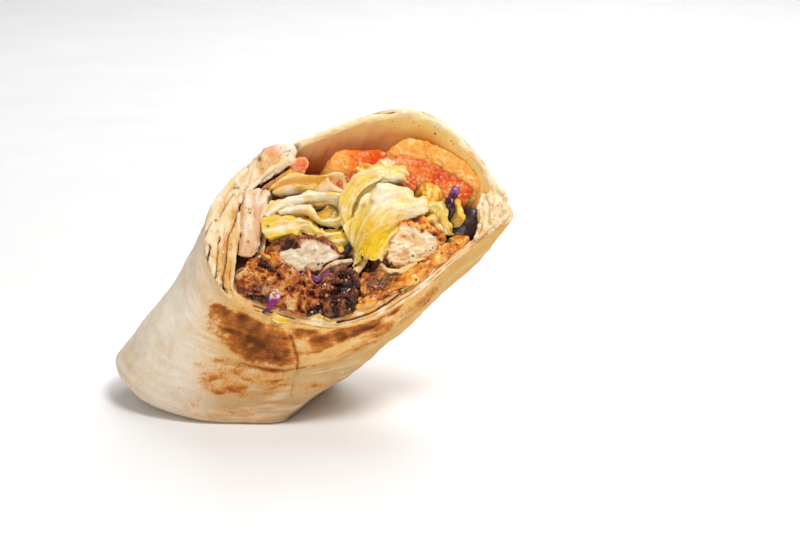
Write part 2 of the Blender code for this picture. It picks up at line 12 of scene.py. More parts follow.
import bpy
import numpy as np
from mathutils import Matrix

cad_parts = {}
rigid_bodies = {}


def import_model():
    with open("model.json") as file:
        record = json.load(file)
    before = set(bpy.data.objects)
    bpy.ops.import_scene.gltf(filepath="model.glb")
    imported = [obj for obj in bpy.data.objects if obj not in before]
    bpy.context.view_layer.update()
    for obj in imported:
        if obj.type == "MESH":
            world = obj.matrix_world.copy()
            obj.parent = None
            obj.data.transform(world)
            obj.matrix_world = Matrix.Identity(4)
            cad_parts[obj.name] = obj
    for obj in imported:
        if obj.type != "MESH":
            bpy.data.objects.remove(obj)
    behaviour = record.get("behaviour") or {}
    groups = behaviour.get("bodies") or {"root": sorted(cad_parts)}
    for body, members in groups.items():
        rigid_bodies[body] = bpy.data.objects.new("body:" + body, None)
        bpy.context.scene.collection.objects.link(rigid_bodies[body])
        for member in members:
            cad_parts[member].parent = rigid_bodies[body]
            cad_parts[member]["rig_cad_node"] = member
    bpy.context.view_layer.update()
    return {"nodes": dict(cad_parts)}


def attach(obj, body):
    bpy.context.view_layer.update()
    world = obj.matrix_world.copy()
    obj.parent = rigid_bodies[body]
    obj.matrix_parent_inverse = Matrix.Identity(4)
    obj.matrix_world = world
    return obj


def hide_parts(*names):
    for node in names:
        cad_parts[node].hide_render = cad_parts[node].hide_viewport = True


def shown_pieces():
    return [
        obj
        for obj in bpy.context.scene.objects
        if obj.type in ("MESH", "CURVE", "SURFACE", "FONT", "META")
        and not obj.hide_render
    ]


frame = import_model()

print("the plain model holds", len(frame["nodes"]), "pieces")

# %% [markdown]
# ## Where things are
# Lengths are in millimetres. On the cut face, s runs to the right and t runs up, from the middle of
# the cut. The photo shows the face nearly head on, so a place on it can also be read off the photo:
# each of its pixels is 0.32 mm across the face, and a little more up it, as the face leans back.

# %% Sizes of the roll
MM = 0.001
CUT_TILT = math.radians(28)
CUT_CENTRE = np.array([0.0, 0.0, 64.0])
FOOT_CENTRE = np.array([-44.0, 12.0])
AXIS_FOOT = np.array([*FOOT_CENTRE, 9.0])
ORIGIN = np.array([-16.72, 11.91, 0.0])
OUT_OF_CUT = np.array([0.0, -math.cos(CUT_TILT), math.sin(CUT_TILT)])
UP_THE_CUT = np.array([0.0, math.sin(CUT_TILT), math.cos(CUT_TILT)])
ROLL_LENGTH = float(np.linalg.norm(CUT_CENTRE - AXIS_FOOT))
PIXEL_ACROSS = 0.32
PIXEL_UP = 0.3285
CUT_PIXEL = (360, 215)
print("the roll is", round(ROLL_LENGTH), "mm long along its middle")

# %% Outlines read off the photo: the rim, the pocket and the foot, and the belly of the wall
RIM = [
    (-49.6, -8.2), (-48, 2.5), (-43.5, 9.5), (-38.6, 15), (-29.4, 20.8), (-17.6, 25.6),
    (-4.8, 30.8), (6.4, 34.6), (13.5, 35.4), (20.8, 34.4), (28.8, 29.4), (36.8, 21.4),
    (43.2, 12.2), (47.2, 4.5), (48.8, -1.2), (41.6, -6.2), (32, -13.8), (20.8, -23.7),
    (11.2, -30.5), (1.6, -35.1), (-8, -36.8), (-19.2, -35.1), (-31.4, -31.5), (-41, -27.6),
    (-46.1, -21.4), (-49, -14.6),
]
POCKET = [
    (-28.8, 0), (-29.6, 6.2), (-31, 9.8), (-25.3, 14), (-21.4, 17.1), (-20.6, 21.2),
    (-16.4, 23.8), (-4.8, 28.6), (5.8, 32), (12.8, 33), (20.8, 31.8), (28.8, 27),
    (35.2, 20.6), (39.6, 14.2), (41.4, 8.2), (39.4, 3.2), (39.6, -3.4), (37.4, -6.6),
    (25.6, -15.9), (12.8, -25.2), (1.6, -30.8), (-9.6, -33.9), (-22.4, -32.2), (-31.4, -28.8),
    (-38, -26.2), (-40.4, -22.6), (-39.6, -19), (-36, -16.4), (-31.4, -13.6), (-29.8, -8.2),
]
FOOT = [
    (-82, 16), (-78, -1), (-68, -12.5), (-53, -18.5), (-36, -20), (-25.5, -19.5), (-21.5, -14),
    (-15, 4), (-9, 22), (-13, 37), (-32, 45), (-55, 45), (-74, 35),
]
SWELL = [
    (-180, -3), (-150, -1), (-120, 2), (-90, 3), (-60, 4), (-40, 4.5), (-20, 4),
    (0, 3), (20, 3), (45, 4), (90, 6), (130, 2), (160, -2.5), (180, -3),
]
OVERLAP = [
    (-130, 0.48), (-115, 0.45), (-93, 0.42), (-73, 0.42), (-60, 0.27), (-45, 0.22), (-20, 0.27),
    (5, 0.3),
]
OVERLAP_STEP = 1.1
OVERLAP_FADE = 12.0
print("points on the rim, the pocket and the foot:", len(RIM), len(POCKET), len(FOOT))


# %% Curves through a few points
def columns(*values):
    """Points, or rows of values, from one array or number for each of their columns."""
    return np.stack(np.broadcast_arrays(*values), axis=-1)


def smooth_curve(points, steps, closed=True):
    """A curve that passes through every point, with this many steps from each to the next."""
    points = np.asarray(points, float)
    count = len(points)
    along = np.arange(steps)[:, None] / steps
    pieces = []
    for i in range(count if closed else count - 1):
        near = [(i + k) % count if closed else min(max(i + k, 0), count - 1) for k in (-1, 0, 1, 2)]
        a, b, c, d = points[near]
        bend = (2 * a - 5 * b + 4 * c - d) + along * (3 * b - a - 3 * c + d)
        pieces.append(b + 0.5 * along * ((c - a) + along * bend))
    if not closed:
        pieces.append(points[-1:])
    return np.concatenate(pieces)


def resampled(curve, count):
    """This many points at equal steps along an open curve."""
    steps = np.linalg.norm(np.diff(curve, axis=0), axis=1)
    travelled = np.concatenate([[0], np.cumsum(steps)])
    at = np.linspace(0, travelled[-1], count)
    return columns(*(np.interp(at, travelled, column) for column in curve.T))


# %% Outlines seen from their middle
def turn_and_distance(flat):
    """The direction and the distance of flat points, seen from the middle."""
    return np.arctan2(flat[..., 1], flat[..., 0]), np.hypot(flat[..., 0], flat[..., 1])


def polar_table(outline, centre=(0, 0)):
    """Directions in rising order, and how far away a closed outline is in each."""
    angles, distances = turn_and_distance(smooth_curve(outline, 16) - np.asarray(centre, float))
    order = np.argsort(angles)
    return angles[order], distances[order]


def reach(table, angles):
    """How far away the outline of a polar table is in these directions."""
    return np.interp(angles, *table, period=2 * math.pi)


# %% Distances from lines and outlines
def distance_to(points, curve):
    """Distance from each flat point to an open curve."""
    starts, spans = curve[:-1], np.diff(curve, axis=0)
    offsets = points[..., None, :] - starts
    share = np.clip((offsets * spans).sum(-1) / (spans * spans).sum(-1), 0, 1)
    return np.linalg.norm(offsets - share[..., None] * spans, axis=-1).min(-1)


def inside_outline(points, outline):
    """True where a flat point lies inside a closed outline."""
    curve = smooth_curve(outline, 6)
    ends = np.roll(curve, -1, axis=0)
    x, y = points[..., None, 0], points[..., None, 1]
    rises = (curve[:, 1] > y) != (ends[:, 1] > y)
    climb = np.where(ends[:, 1] == curve[:, 1], 1, ends[:, 1] - curve[:, 1])
    crossing = curve[:, 0] + (y - curve[:, 1]) * (ends[:, 0] - curve[:, 0]) / climb
    return (rises & (x < crossing)).sum(-1) % 2 == 1


def within_outline(points, outline, softness):
    """1 well inside a closed outline, 0 well outside it, with a soft edge."""
    curve = smooth_curve(outline, 6)
    away = distance_to(points, np.concatenate([curve, curve[:1]]))
    signed = np.where(inside_outline(points, outline), away, -away)
    return np.clip(signed / softness + 0.5, 0, 1)


# %% From the cut face into the roll
RIM_TABLE = polar_table(RIM)
POCKET_TABLE = polar_table(POCKET)
FOOT_TABLE = polar_table(FOOT, FOOT_CENTRE)


def seen(x, y):
    """The place (s, t) on the cut face that shows at a pixel of the photo."""
    return (x - CUT_PIXEL[0]) * PIXEL_ACROSS, (CUT_PIXEL[1] - y) * PIXEL_UP


def on_cut(s, t):
    """Points in space for places on the cut face."""
    return columns(s, t * UP_THE_CUT[1], t * UP_THE_CUT[2]) + CUT_CENTRE


def flat_on_cut(points):
    """The place (s, t) on the cut face that each point is over."""
    return columns(points[..., 0], (points - CUT_CENTRE) @ UP_THE_CUT)


def over_cut(points):
    """The height of each point over the cut face."""
    return (points - CUT_CENTRE) @ OUT_OF_CUT


# %% The wall of the roll
# For the belly and the foot: a value in front, and what it gains at the left and at the back.
BELLY_HEIGHT = (2.5, 9, 5)
FOOT_INSET = (2.5, 15, 5)


def unevenness(angle, depth):
    """Soft dents of the wall, and the step where the outer sheet overlaps."""
    fade = np.sin(math.pi * np.clip(depth, 0, 1))
    dents = 0.45 * np.sin(5 * angle + 7 * depth) + 0.3 * np.sin(11 * angle - 9 * depth + 2)
    degrees = np.degrees(np.arctan2(np.sin(angle), np.cos(angle)))
    line = np.interp(degrees, *zip(*OVERLAP))
    starts = np.clip((degrees - OVERLAP[0][0]) / OVERLAP_FADE, 0, 1)
    ends = np.clip((OVERLAP[-1][0] - degrees) / OVERLAP_FADE, 0, 1)
    step = np.clip((line - depth) / 0.012 + 0.5, 0, 1) * np.clip(depth / 0.12, 0, 1)
    return dents * fade + OVERLAP_STEP * step * starts * ends


def wall(angle, depth):
    """Points of the roll's outer surface: depth 0 is the rim, 1 the belly, 2 the floor."""
    angle, depth = np.broadcast_arrays(np.asarray(angle, float), np.asarray(depth, float))
    around, across = np.cos(angle), np.sin(angle)
    left = np.maximum(0, -around) ** 1.5
    back = np.maximum(0, across)
    rim = on_cut(reach(RIM_TABLE, angle) * around, reach(RIM_TABLE, angle) * across)
    flat = columns(around, across)
    side = FOOT_CENTRE + reach(FOOT_TABLE, angle)[..., None] * flat
    height, inset = (front + at_left * left + at_back * back
                     for front, at_left, at_back in (BELLY_HEIGHT, FOOT_INSET))
    belly = np.concatenate([side, height[..., None]], axis=-1)
    chord = (belly - rim) / np.linalg.norm(belly - rim, axis=-1, keepdims=True)
    out = columns(around, 0.9 * across, 0)
    out = out - chord * (out * chord).sum(-1, keepdims=True)
    out /= np.linalg.norm(out, axis=-1, keepdims=True)
    swell = np.interp(np.degrees(np.arctan2(across, around)), *zip(*SWELL))
    upper = np.clip(depth, 0, 1)
    lift = swell * np.sin(math.pi * upper ** 0.9) + unevenness(angle, upper)
    high = rim + (belly - rim) * upper[..., None] + out * lift[..., None]
    turn = np.clip(depth - 1, 0, 1) * math.pi / 2
    low_flat = side - flat * (inset * (1 - np.cos(turn)))[..., None]
    low = np.concatenate([low_flat, (height * (1 - np.sin(turn)))[..., None]], axis=-1)
    return np.where((depth <= 1)[..., None], high, low)


# %% Any place in the roll
def spot(s, t, height):
    """A point over the cut face at this height, or at minus that height down inside the roll."""
    s, t, height = np.broadcast_arrays(*(np.asarray(value, float) for value in (s, t, height)))
    angle, distance = turn_and_distance(columns(s, t))
    share = (distance / reach(RIM_TABLE, angle))[..., None]
    below = np.clip(-height / ROLL_LENGTH, 0, 1)
    axis = CUT_CENTRE + (AXIS_FOOT - CUT_CENTRE) * below[..., None]
    point = axis * (1 - share) + wall(angle, below) * share
    return point + OUT_OF_CUT * np.maximum(0, height)[..., None]


# %% [markdown]
# ## Random relief that repeats
# Food is never even. Two kinds of noise make most of its surface: soft noise for dents, folds and
# stains, and cell noise for crumbs and grains. Both are worked out from the point itself, with a
# fixed rule, so that every run gives the same wrap.

# %% Soft noise and cell noise
def scatter(cell, salt):
    """A number from 0 to 1 for each whole-number cell, that looks random and repeats."""
    mixed = (cell * np.array([374761393, 668265263, 2147483647])).sum(-1) + salt * 1274126177
    for shift, factor in ((13, 1103515245), (16, 2654435761)):
        mixed = mixed & 0xFFFFFFFF
        mixed = (mixed ^ (mixed >> shift)) * factor
    mixed = mixed & 0xFFFFFFFF
    return ((mixed ^ (mixed >> 15)) & 0xFFFF) / 65535


def noise(points, size, octaves=3, salt=0):
    """Soft relief from about -1 to 1, whose coarsest feature measures size."""
    total, weight, weights = 0, 1.0, 0
    for octave in range(octaves):
        at = points * (2 ** octave / size) + 17.3 * octave
        base = np.floor(at).astype(np.int64)
        part = at - base
        ease = part * part * (3 - 2 * part)
        value = 0
        for corner in itertools.product((0, 1), repeat=3):
            share = np.where(corner, ease, 1 - ease).prod(-1)
            value = value + share * scatter(base + np.array(corner), salt + octave)
        total = total + (2 * value - 1) * weight
        weights += weight
        weight *= 0.5
    return 1.6 * total / weights


def cells(points, size, salt=0):
    """How far the nearest and the next of many scattered seeds are, and the nearest one's number."""
    at = points / size
    base = np.floor(at).astype(np.int64)
    first = np.full(at.shape[:-1], 9.0)
    second = first.copy()
    number = first.copy()
    for step in itertools.product((-1, 0, 1), repeat=3):
        cell = base + np.array(step)
        seed = cell + columns(*(scatter(cell, salt + k) for k in range(3)))
        away = np.linalg.norm(at - seed, axis=-1)
        nearer = away < first
        second = np.where(nearer, first, np.minimum(second, away))
        number = np.where(nearer, scatter(cell, salt + 3), number)
        first = np.minimum(first, away)
    return first, second, number


def pitted(points, size, salt, stretch=(1, 1, 1)):
    """Round lumps from cell noise: 0.55 at each seed, and below zero between the seeds."""
    return 0.55 - cells(points * stretch, size, salt)[0]


# %% Soft steps and bells
def eased(value, low, high):
    """0 below low, 1 above high, and a soft step between."""
    share = np.clip((value - low) / (high - low), 0, 1)
    return share * share * (3 - 2 * share)


def bell(value, middle, width):
    """1 at the middle value, and nearly 0 from twice the width away."""
    return np.exp(-((value - middle) / width) ** 2)


# %% Colours as they look, and how they mix
def shade(red, green, blue):
    """A colour given as it looks on a screen, from 0 to 255, in the units that light adds up in."""
    value = np.array([red, green, blue]) / 255
    return np.where(value <= 0.04045, value / 12.92, ((value + 0.055) / 1.055) ** 2.4)


def shades(*colours):
    return [shade(*colour) for colour in colours]


def mixed(first, second, share):
    """The first colour, with this share of the second in it."""
    share = np.asarray(share)[..., None]
    return first * (1 - share) + second * share


def laid_over(base, *layers):
    """Colours laid over a base one after another, each given with its share."""
    for colour, share in layers:
        base = mixed(base, colour, share)
    return base


def along_colours(colours, share):
    """The colour at each share, 0 to 1, of the way through a list of colours."""
    at = np.linspace(0, 1, len(colours))
    return columns(*(np.interp(share, at, column) for column in np.array(colours).T))


# %% [markdown]
# ## Meshes from rings of points
# Nearly every piece here is a stack of rings, closed at both ends: a lump of chicken is rings round
# its middle, and a leaf is rings round its edge. One helper sews rings into a closed mesh, one
# paints values on its points for the finishes to read, and one pushes its points in and out.

# %% Sewing rings together
def sewn(rings):
    """Points and faces of a closed form: rings of points with a fan over the first and the last."""
    rows, sides = rings.shape[:2]
    points = np.concatenate([rings[0].mean(0)[None], rings.reshape(-1, 3), rings[-1].mean(0)[None]])
    here = 1 + np.arange(rows * sides).reshape(rows, sides)
    beside = np.roll(here, -1, axis=1)
    quads = columns(here[:-1], beside[:-1], beside[1:], here[1:]).reshape(-1, 4)
    first = columns(0, beside[0], here[0])
    last = columns(len(points) - 1, here[-1], beside[-1])
    return points, quads.tolist() + first.tolist() + last.tolist()


def with_ends(values):
    """Values for each point of rings, with those of the two middle points of the fans added."""
    flat = values.reshape((-1,) + values.shape[2:])
    return np.concatenate([values[0].mean(0)[None], flat, values[-1].mean(0)[None]])


# %% Making, painting and pushing a piece
def put_in_scene(name, data):
    """A new object in the scene that shows a mesh, a light or a camera."""
    thing = bpy.data.objects.new(name, data)
    bpy.context.scene.collection.objects.link(thing)
    return thing


def new_piece(name, points, faces, material):
    """A smooth mesh object with its faces outwards; the points are in millimetres."""
    mesh = bpy.data.meshes.new(name)
    mesh.from_pydata(((points - ORIGIN) * MM).tolist(), [], faces)
    mesh.calc_loop_triangles()
    corners = np.empty(len(mesh.loop_triangles) * 3, np.int32)
    mesh.loop_triangles.foreach_get("vertices", corners)
    if np.linalg.det((points - points.mean(0))[corners.reshape(-1, 3)]).sum() < 0:
        mesh.flip_normals()
    mesh.shade_smooth()
    mesh.materials.append(material)
    return put_in_scene(name, mesh)


def paint(thing, name, values):
    """Keeps a number or a colour for each point, under a name that the finishes look up."""
    if values.ndim == 1:
        layer = thing.data.attributes.new(name, "FLOAT", "POINT")
        layer.data.foreach_set("value", values.astype(np.float32))
        return
    layer = thing.data.color_attributes.new(name, "FLOAT_COLOR", "POINT")
    layer.data.foreach_set("color", columns(*values.T, 1).astype(np.float32).ravel())


def places(thing):
    """Where the points of a piece are, in millimetres."""
    at = np.empty(len(thing.data.vertices) * 3, np.float32)
    thing.data.vertices.foreach_get("co", at)
    return at.reshape(-1, 3) / MM + ORIGIN


def move_to(thing, at):
    """Puts the points of a piece at new places, in millimetres."""
    thing.data.vertices.foreach_set("co", ((at - ORIGIN) * MM).astype(np.float32).ravel())
    thing.data.update()


def push_out(thing, amount):
    """Moves each point along its own normal, by an amount in millimetres."""
    normals = np.empty(len(amount) * 3, np.float32)
    thing.data.vertex_normals.foreach_get("vector", normals)
    move_to(thing, places(thing) + normals.reshape(-1, 3) * amount[:, None])


def serve(thing, slot, *nodes):
    """Joins a piece to the wrap, and hides the plain pieces it stands for; the slot is not used."""
    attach(thing, "root")
    if nodes:
        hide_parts(*nodes)
    print(thing.name, len(thing.data.polygons), "faces")


# %% [markdown]
# ## Finishes
# A food's finish has three layers. The colour painted on its points gives the large changes, fine
# noise in the material gives the speckles that are smaller than the mesh, and bumps catch the
# light. Light also sinks into food and comes out beside, so each finish scatters some of it below
# the surface: a lot in tomato and leaf, little in crust.

# %% Texture helpers
def texture(tree, size, kind="noise", stretch=(1, 1, 1), detail=3):
    """A noise texture whose features measure this many millimetres; stretch makes them long."""
    place = tree.nodes.new("ShaderNodeTexCoord").outputs["Object"]
    if stretch != (1, 1, 1):
        mapping = tree.nodes.new("ShaderNodeMapping")
        mapping.inputs["Scale"].default_value = [1 / value for value in stretch]
        tree.links.new(place, mapping.inputs["Vector"])
        place = mapping.outputs[0]
    kinds = {"noise": "ShaderNodeTexNoise", "cells": "ShaderNodeTexVoronoi"}
    made = tree.nodes.new(kinds[kind])
    made.inputs["Scale"].default_value = 1 / (size * MM)
    made.inputs["Detail"].default_value = detail if kind == "noise" else 0.0
    tree.links.new(place, made.inputs["Vector"])
    return made.outputs["Fac" if kind == "noise" else "Distance"]


def ramp(tree, value, *stops):
    """Turns a value into a colour, by stops of (where, colour)."""
    made = tree.nodes.new("ShaderNodeValToRGB")
    while len(made.color_ramp.elements) < len(stops):
        made.color_ramp.elements.new(1)
    for element, (where, colour) in zip(made.color_ramp.elements, stops):
        element.position = where
        element.color = (*colour, 1.0)
    tree.links.new(value, made.inputs["Fac"])
    return made.outputs["Color"]


def painted(tree, name, output="Color"):
    """What was painted on the points under this name."""
    made = tree.nodes.new("ShaderNodeAttribute")
    made.attribute_name = name
    return made.outputs[output]


def mix_colours(tree, first, second, share, how="MIX"):
    """share is a number, or the output of another node."""
    made = tree.nodes.new("ShaderNodeMix")
    made.data_type = "RGBA"
    made.blend_type = how
    if isinstance(share, float):
        made.inputs[0].default_value = share
    else:
        tree.links.new(share, made.inputs[0])
    tree.links.new(first, made.inputs[6])
    tree.links.new(second, made.inputs[7])
    return made.outputs[2]


def spread(tree, value, low, high, from_low=0.3, from_high=0.7):
    """Stretches values between two limits to lie between two others."""
    made = tree.nodes.new("ShaderNodeMapRange")
    made.inputs["From Min"].default_value = from_low
    made.inputs["From Max"].default_value = from_high
    made.inputs["To Min"].default_value = low
    made.inputs["To Max"].default_value = high
    tree.links.new(value, made.inputs["Value"])
    return made.outputs[0]


def bumped(tree, shader, layers):
    """Stacks bumps of (size, height) in millimetres, coarse ones first, with a kind and a stretch."""
    previous = None
    for size, height, *rest in layers:
        made = tree.nodes.new("ShaderNodeBump")
        made.inputs["Distance"].default_value = height * MM
        tree.links.new(texture(tree, size, *rest), made.inputs["Height"])
        if previous:
            tree.links.new(previous, made.inputs["Normal"])
        previous = made.outputs[0]
    tree.links.new(previous, shader.inputs["Normal"])


# %% A finish for any food
SPECKLE_DARK, SPECKLE_LIGHT = (0.45, 0.45, 0.45), (1.25, 1.25, 1.25)
SHEEN_SIZE = 1.7
COAT_ROUGHNESS = 0.12


def new_material(name):
    """A fresh material, its tree of nodes and its main shader."""
    material = bpy.data.materials.new(name)
    material.use_nodes = True
    return material, material.node_tree, material.node_tree.nodes["Principled BSDF"]


def food_finish(name, speckles, bumps, rough, glow=(0, 1.5, (1, 0.5, 0.3)), coat=0, specular=0.5,
                colour=None):
    """The colour painted on the points, speckled finer than the mesh, with bumps and sheen.

    glow is the share of light that sinks in, how deep it goes in millimetres, and its colour.
    """
    material, tree, shader = new_material(name)
    colour = colour(tree) if colour else painted(tree, "tint")
    for size, share, *rest in speckles:
        speckle = ramp(tree, texture(tree, size, *rest), (0.3, SPECKLE_DARK), (0.7, SPECKLE_LIGHT))
        colour = mix_colours(tree, colour, speckle, share, "MULTIPLY")
    tree.links.new(colour, shader.inputs["Base Color"])
    tree.links.new(spread(tree, texture(tree, SHEEN_SIZE), *rough), shader.inputs["Roughness"])
    bumped(tree, shader, bumps)
    glow_share, glow_depth, glow_colour = glow
    shader.inputs["Subsurface Weight"].default_value = glow_share
    shader.inputs["Subsurface Radius"].default_value = glow_colour
    shader.inputs["Subsurface Scale"].default_value = glow_depth * MM
    shader.inputs["Coat Weight"].default_value = coat
    shader.inputs["Coat Roughness"].default_value = COAT_ROUGHNESS
    shader.inputs["Specular IOR Level"].default_value = specular
    print("finish", name)
    return material


# %% [markdown]
# ## The tortilla's skin
# A flour tortilla is pale and dusty, and goes golden and then brown where it has touched the
# griddle. The brown sits in blotches with streaks that follow the roll. The amount of toasting is
# worked out on a chart of the wall, unrolled flat in millimetres, and painted on the points; the
# finish breaks its edges up with fine noise and turns it into colour. Noise alone would put the
# patches anywhere, so their outlines are listed.

# %% Chart of the wall and its toasted patches
# Millimetres for each degree round the wall, and for its whole depth.
CHART = np.array([0.61, 71.0])
HALO = 11.0
BLOTCHES = [
    ([(-150, 0.13), (-146, 0.09), (-141, 0.055), (-134, 0.075), (-127, 0.06), (-119, 0.09), (-107, 0.2),
      (-99, 0.3), (-94, 0.38), (-101, 0.405), (-112, 0.41), (-121, 0.41), (-130, 0.38), (-138, 0.33),
      (-145, 0.26)], 0.5, 2),
    ([(-117, 0.085), (-116, 0.04), (-106, 0.02), (-92, 0.01), (-78, 0.01), (-64, 0.02), (-68, 0.06),
      (-78, 0.15), (-87, 0.2), (-92, 0.27), (-94, 0.29), (-104, 0.2)], 0.46, 2.4),
    ([(-118, 0.46), (-108, 0.46), (-99, 0.45), (-92, 0.42), (-84, 0.39), (-76, 0.385), (-82, 0.42),
      (-92, 0.47), (-104, 0.49)], 0.42, 2),
    ([(-76, 0.38), (-74, 0.28), (-68, 0.14), (-58, 0.05), (-44, 0.04), (-26, 0.08), (-30, 0.26),
      (-44, 0.34), (-62, 0.36)], 0.28, 5),
    ([(-128, 0.5), (-118, 0.47), (-90, 0.48), (-70, 0.5), (-60, 0.6), (-66, 0.76), (-90, 0.8),
      (-112, 0.8), (-126, 0.66)], 0.11, 8),
    ([(-132, 0.92), (-126, 0.86), (-114, 0.86), (-108, 0.95), (-118, 1.02), (-130, 1.03)], 0.06, 5),
    ([(-100, 0.82), (-70, 0.8), (-50, 0.72), (-44, 0.98), (-80, 1.1), (-104, 1.02)], 0.08, 8),
    ([(20, 0.1), (48, 0.06), (74, 0.16), (80, 0.38), (60, 0.5), (38, 0.36), (26, 0.4)], 0.42, 6),
    ([(86, 0.55), (104, 0.58), (122, 0.48), (146, 0.58), (130, 0.68), (124, 0.84), (104, 0.74),
      (92, 0.8)], 0.4, 6),
    ([(118, 0.14), (134, 0.08), (152, 0.1), (166, 0.2), (150, 0.24), (142, 0.34), (128, 0.24)], 0.34, 6),
    ([(-24, 0.48), (-6, 0.52), (10, 0.44), (30, 0.6), (12, 0.66), (6, 0.8), (-16, 0.68)], 0.38, 6),
    ([(96, 0.18), (112, 0.16), (114, 0.24), (100, 0.28)], 0.26, 6),
    ([(58, 0.66), (76, 0.7), (74, 0.84), (60, 0.8)], 0.26, 6),
    ([(150, 0.78), (168, 0.74), (172, 0.88), (156, 0.94)], 0.3, 6),
]
SCORCHES = [
    (-133, 0.25, 1.8), (-126, 0.262, 2.4), (-116, 0.3, 3.4), (-108, 0.285, 2.4), (-111, 0.07, 2.2),
    (-100, 0.095, 3), (-117, 0.145, 1.8), (-139, 0.12, 2.6), (-104, 0.34, 2), (-124, 0.508, 2.2),
    (-108, 0.574, 1.8), (-92, 0.584, 1.8), (-111, 0.76, 1.6), (-105, 0.72, 1.5), (-102, 0.67, 1.5),
    (-97, 0.47, 2), (-62, 0.69, 2.2), (-120, 0.66, 1.4), (-84, 0.66, 1.6), (-78, 0.1, 2.6), (-70, 0.04, 2),
    (-74, 0.14, 3.2), (-84, 0.12, 2),
    (-129.5, 0.768, 0.5), (50, 0.2, 3.4), (62, 0.33, 2.6), (38, 0.25, 2.2), (112, 0.64, 3),
    (100, 0.7, 2.2),
    (146, 0.2, 2), (4, 0.6, 2.6), (118, 0.004, 2.2),
]
CRACK = [
    (-120, 0), (-118, 0.08), (-110, 0.18), (-102, 0.28), (-95, 0.374), (-91, 0.435), (-79, 0.625),
    (-68, 0.8),
]
SEAM = [(96, 0), (92, 0.25), (84, 0.5), (70, 0.8), (52, 1.05), (40, 1.6)]
print(len(BLOTCHES), "toasted patches and", len(SCORCHES), "darker spots")


# %% How brown the wall is
def chart_of(degrees, depth):
    return columns(degrees, depth) * CHART


def streaks_along(along, across, size, salt, length=4):
    """Noise drawn out along one of two flat directions."""
    return noise(columns(along / length, across, 0), size, 3, salt)


def creases(along, across, size, salt, length=4):
    """Sharp crests with round hollows between them, drawn out along one of two flat directions."""
    return 1 - 3 * np.minimum(np.abs(streaks_along(along, across, size, salt, length)), 0.6)


def toasting(degrees, depth, points):
    """How brown the wall is, 0 to 1."""
    chart = chart_of(degrees, depth)
    wobble = 1.5 * noise(points, 6, 3, 5)
    fray = noise(points, 1.8, 3, 6)
    shifted = chart + columns(wobble + fray, 0.7 * wobble + 0.9 * fray)
    streaks = streaks_along(*chart.T, 1.9, 3)
    mottle = noise(points * (0.7, 1, 1), 2, 4, 4)
    amount = np.zeros(len(points))
    for outline, strength, softness in BLOTCHES:
        wide = within_outline(shifted, [chart_of(*point) for point in outline], HALO)
        blotch = np.clip((wide - 0.5) * HALO / softness + 0.5, 0, 1)
        amount = np.maximum(amount, strength * (0.66 * blotch + 0.42 * wide))
    amount = amount * (0.86 + 0.3 * streaks + 0.42 * mottle)
    for turn, down, size in SCORCHES:
        near = np.linalg.norm((shifted - chart_of(turn, down)) * (0.55, 1.1), axis=-1)
        amount = amount + (0.24 + 0.22 * mottle) * bell(near, 0, size)
    front = bell(degrees, -108, 34) * eased(depth, 0.02, 0.25)
    amount = amount + 0.11 * front * (1 + noise(points, 8, 3, 8)) + 0.05 * noise(points, 9, 3, 9)
    return np.clip(amount, 0, 1.2)


# %% Finish of the tortilla
TOASTED_AT = (0.08, 0.26, 0.46, 0.68, 0.95)
TOASTED = shades((232, 186, 118), (214, 146, 72), (178, 104, 44), (136, 76, 32), (98, 52, 24))


def tortilla_colour(tree):
    """The painted crumb or skin colour, turned golden and brown by the toasting and the crack's painted
    shade.
    """
    fine = spread(tree, texture(tree, 0.8, detail=4), -0.09, 0.09)
    coarse = spread(tree, texture(tree, 3, stretch=(2.2, 1, 1)), -0.09, 0.09)
    total = painted(tree, "toast_and_crack_shade", "Fac")
    for part in (fine, coarse):
        added = tree.nodes.new("ShaderNodeMath")
        added.operation = "ADD"
        tree.links.new(total, added.inputs[0])
        tree.links.new(part, added.inputs[1])
        total = added.outputs[0]
    brown = ramp(tree, total, *zip(TOASTED_AT, TOASTED))
    return mix_colours(tree, painted(tree, "tint"), brown, spread(tree, total, 0.0, 1.0, 0.1, 0.33))


tortilla_finish = food_finish(
    "toasted_tortilla", [(0.6, 0.12), (2.6, 0.1)],
    [(2.4, 0.12), (0.7, 0.07), (0.28, 0.04)], (0.6, 0.8),
    glow=(0.1, 1, (1, 0.6, 0.35)), specular=0.12,
    colour=tortilla_colour)
tree = tortilla_finish.node_tree
tree.links.new(painted(tree, "wet", "Fac"), tree.nodes["Principled BSDF"].inputs["Coat Weight"])

# %% [markdown]
# ## The rolled tortilla
# The sheet is rolled round the filling, so its form is one shell: up the outside, over the cut edge
# and down into the pocket. Rings of points follow that way. The wall is then pushed in and out by
# bubbles and dents, with a groove where the dry outer sheet has cracked and a raised line where the
# roll's loose edge ends at the back. Over the cut edge, fine grooves part one layer from the next.

# %% Where the layers part on the cut edge
SHELL_SIDES = 560
WALL_ROWS = 80
EDGE_ROWS = 38
LINING_DEPTH = 0.72
LINING_TAPER_FROM = 0.6
STACK_RECESS = 3.2
LOW_LAYERS = 3
LAYER_STEP = 0.22
STACK_OUTLINE = [
    (-50, -8), (-48.4, 4), (-42, 11.5), (-34, 18), (-24, 24), (-19.5, 23), (-20, 17),
    (-27, 12), (-29, 4), (-30, -8), (-33, -14), (-38, -17.5), (-40.5, -24), (-41, -27),
    (-47, -22),
]
LAYER_GAPS = [
    ([(296, 318), (276, 312), (256, 305)], 0.12, 0.6),
    ([(500, 205), (494, 214), (488, 222)], 0.16, 0.8),
    ([(338, 322), (350, 319), (362, 315.5), (374, 310.5), (386, 303.5), (398, 294.5), (408, 286.5)],
     0.2, 0.9),
    ([(462, 150), (448, 139), (430, 129), (414, 123)], 0.14, 0.6),
    ([(330, 122), (350, 115.5), (372, 111.5), (394, 110.5)], 0.12, 0.5),
]


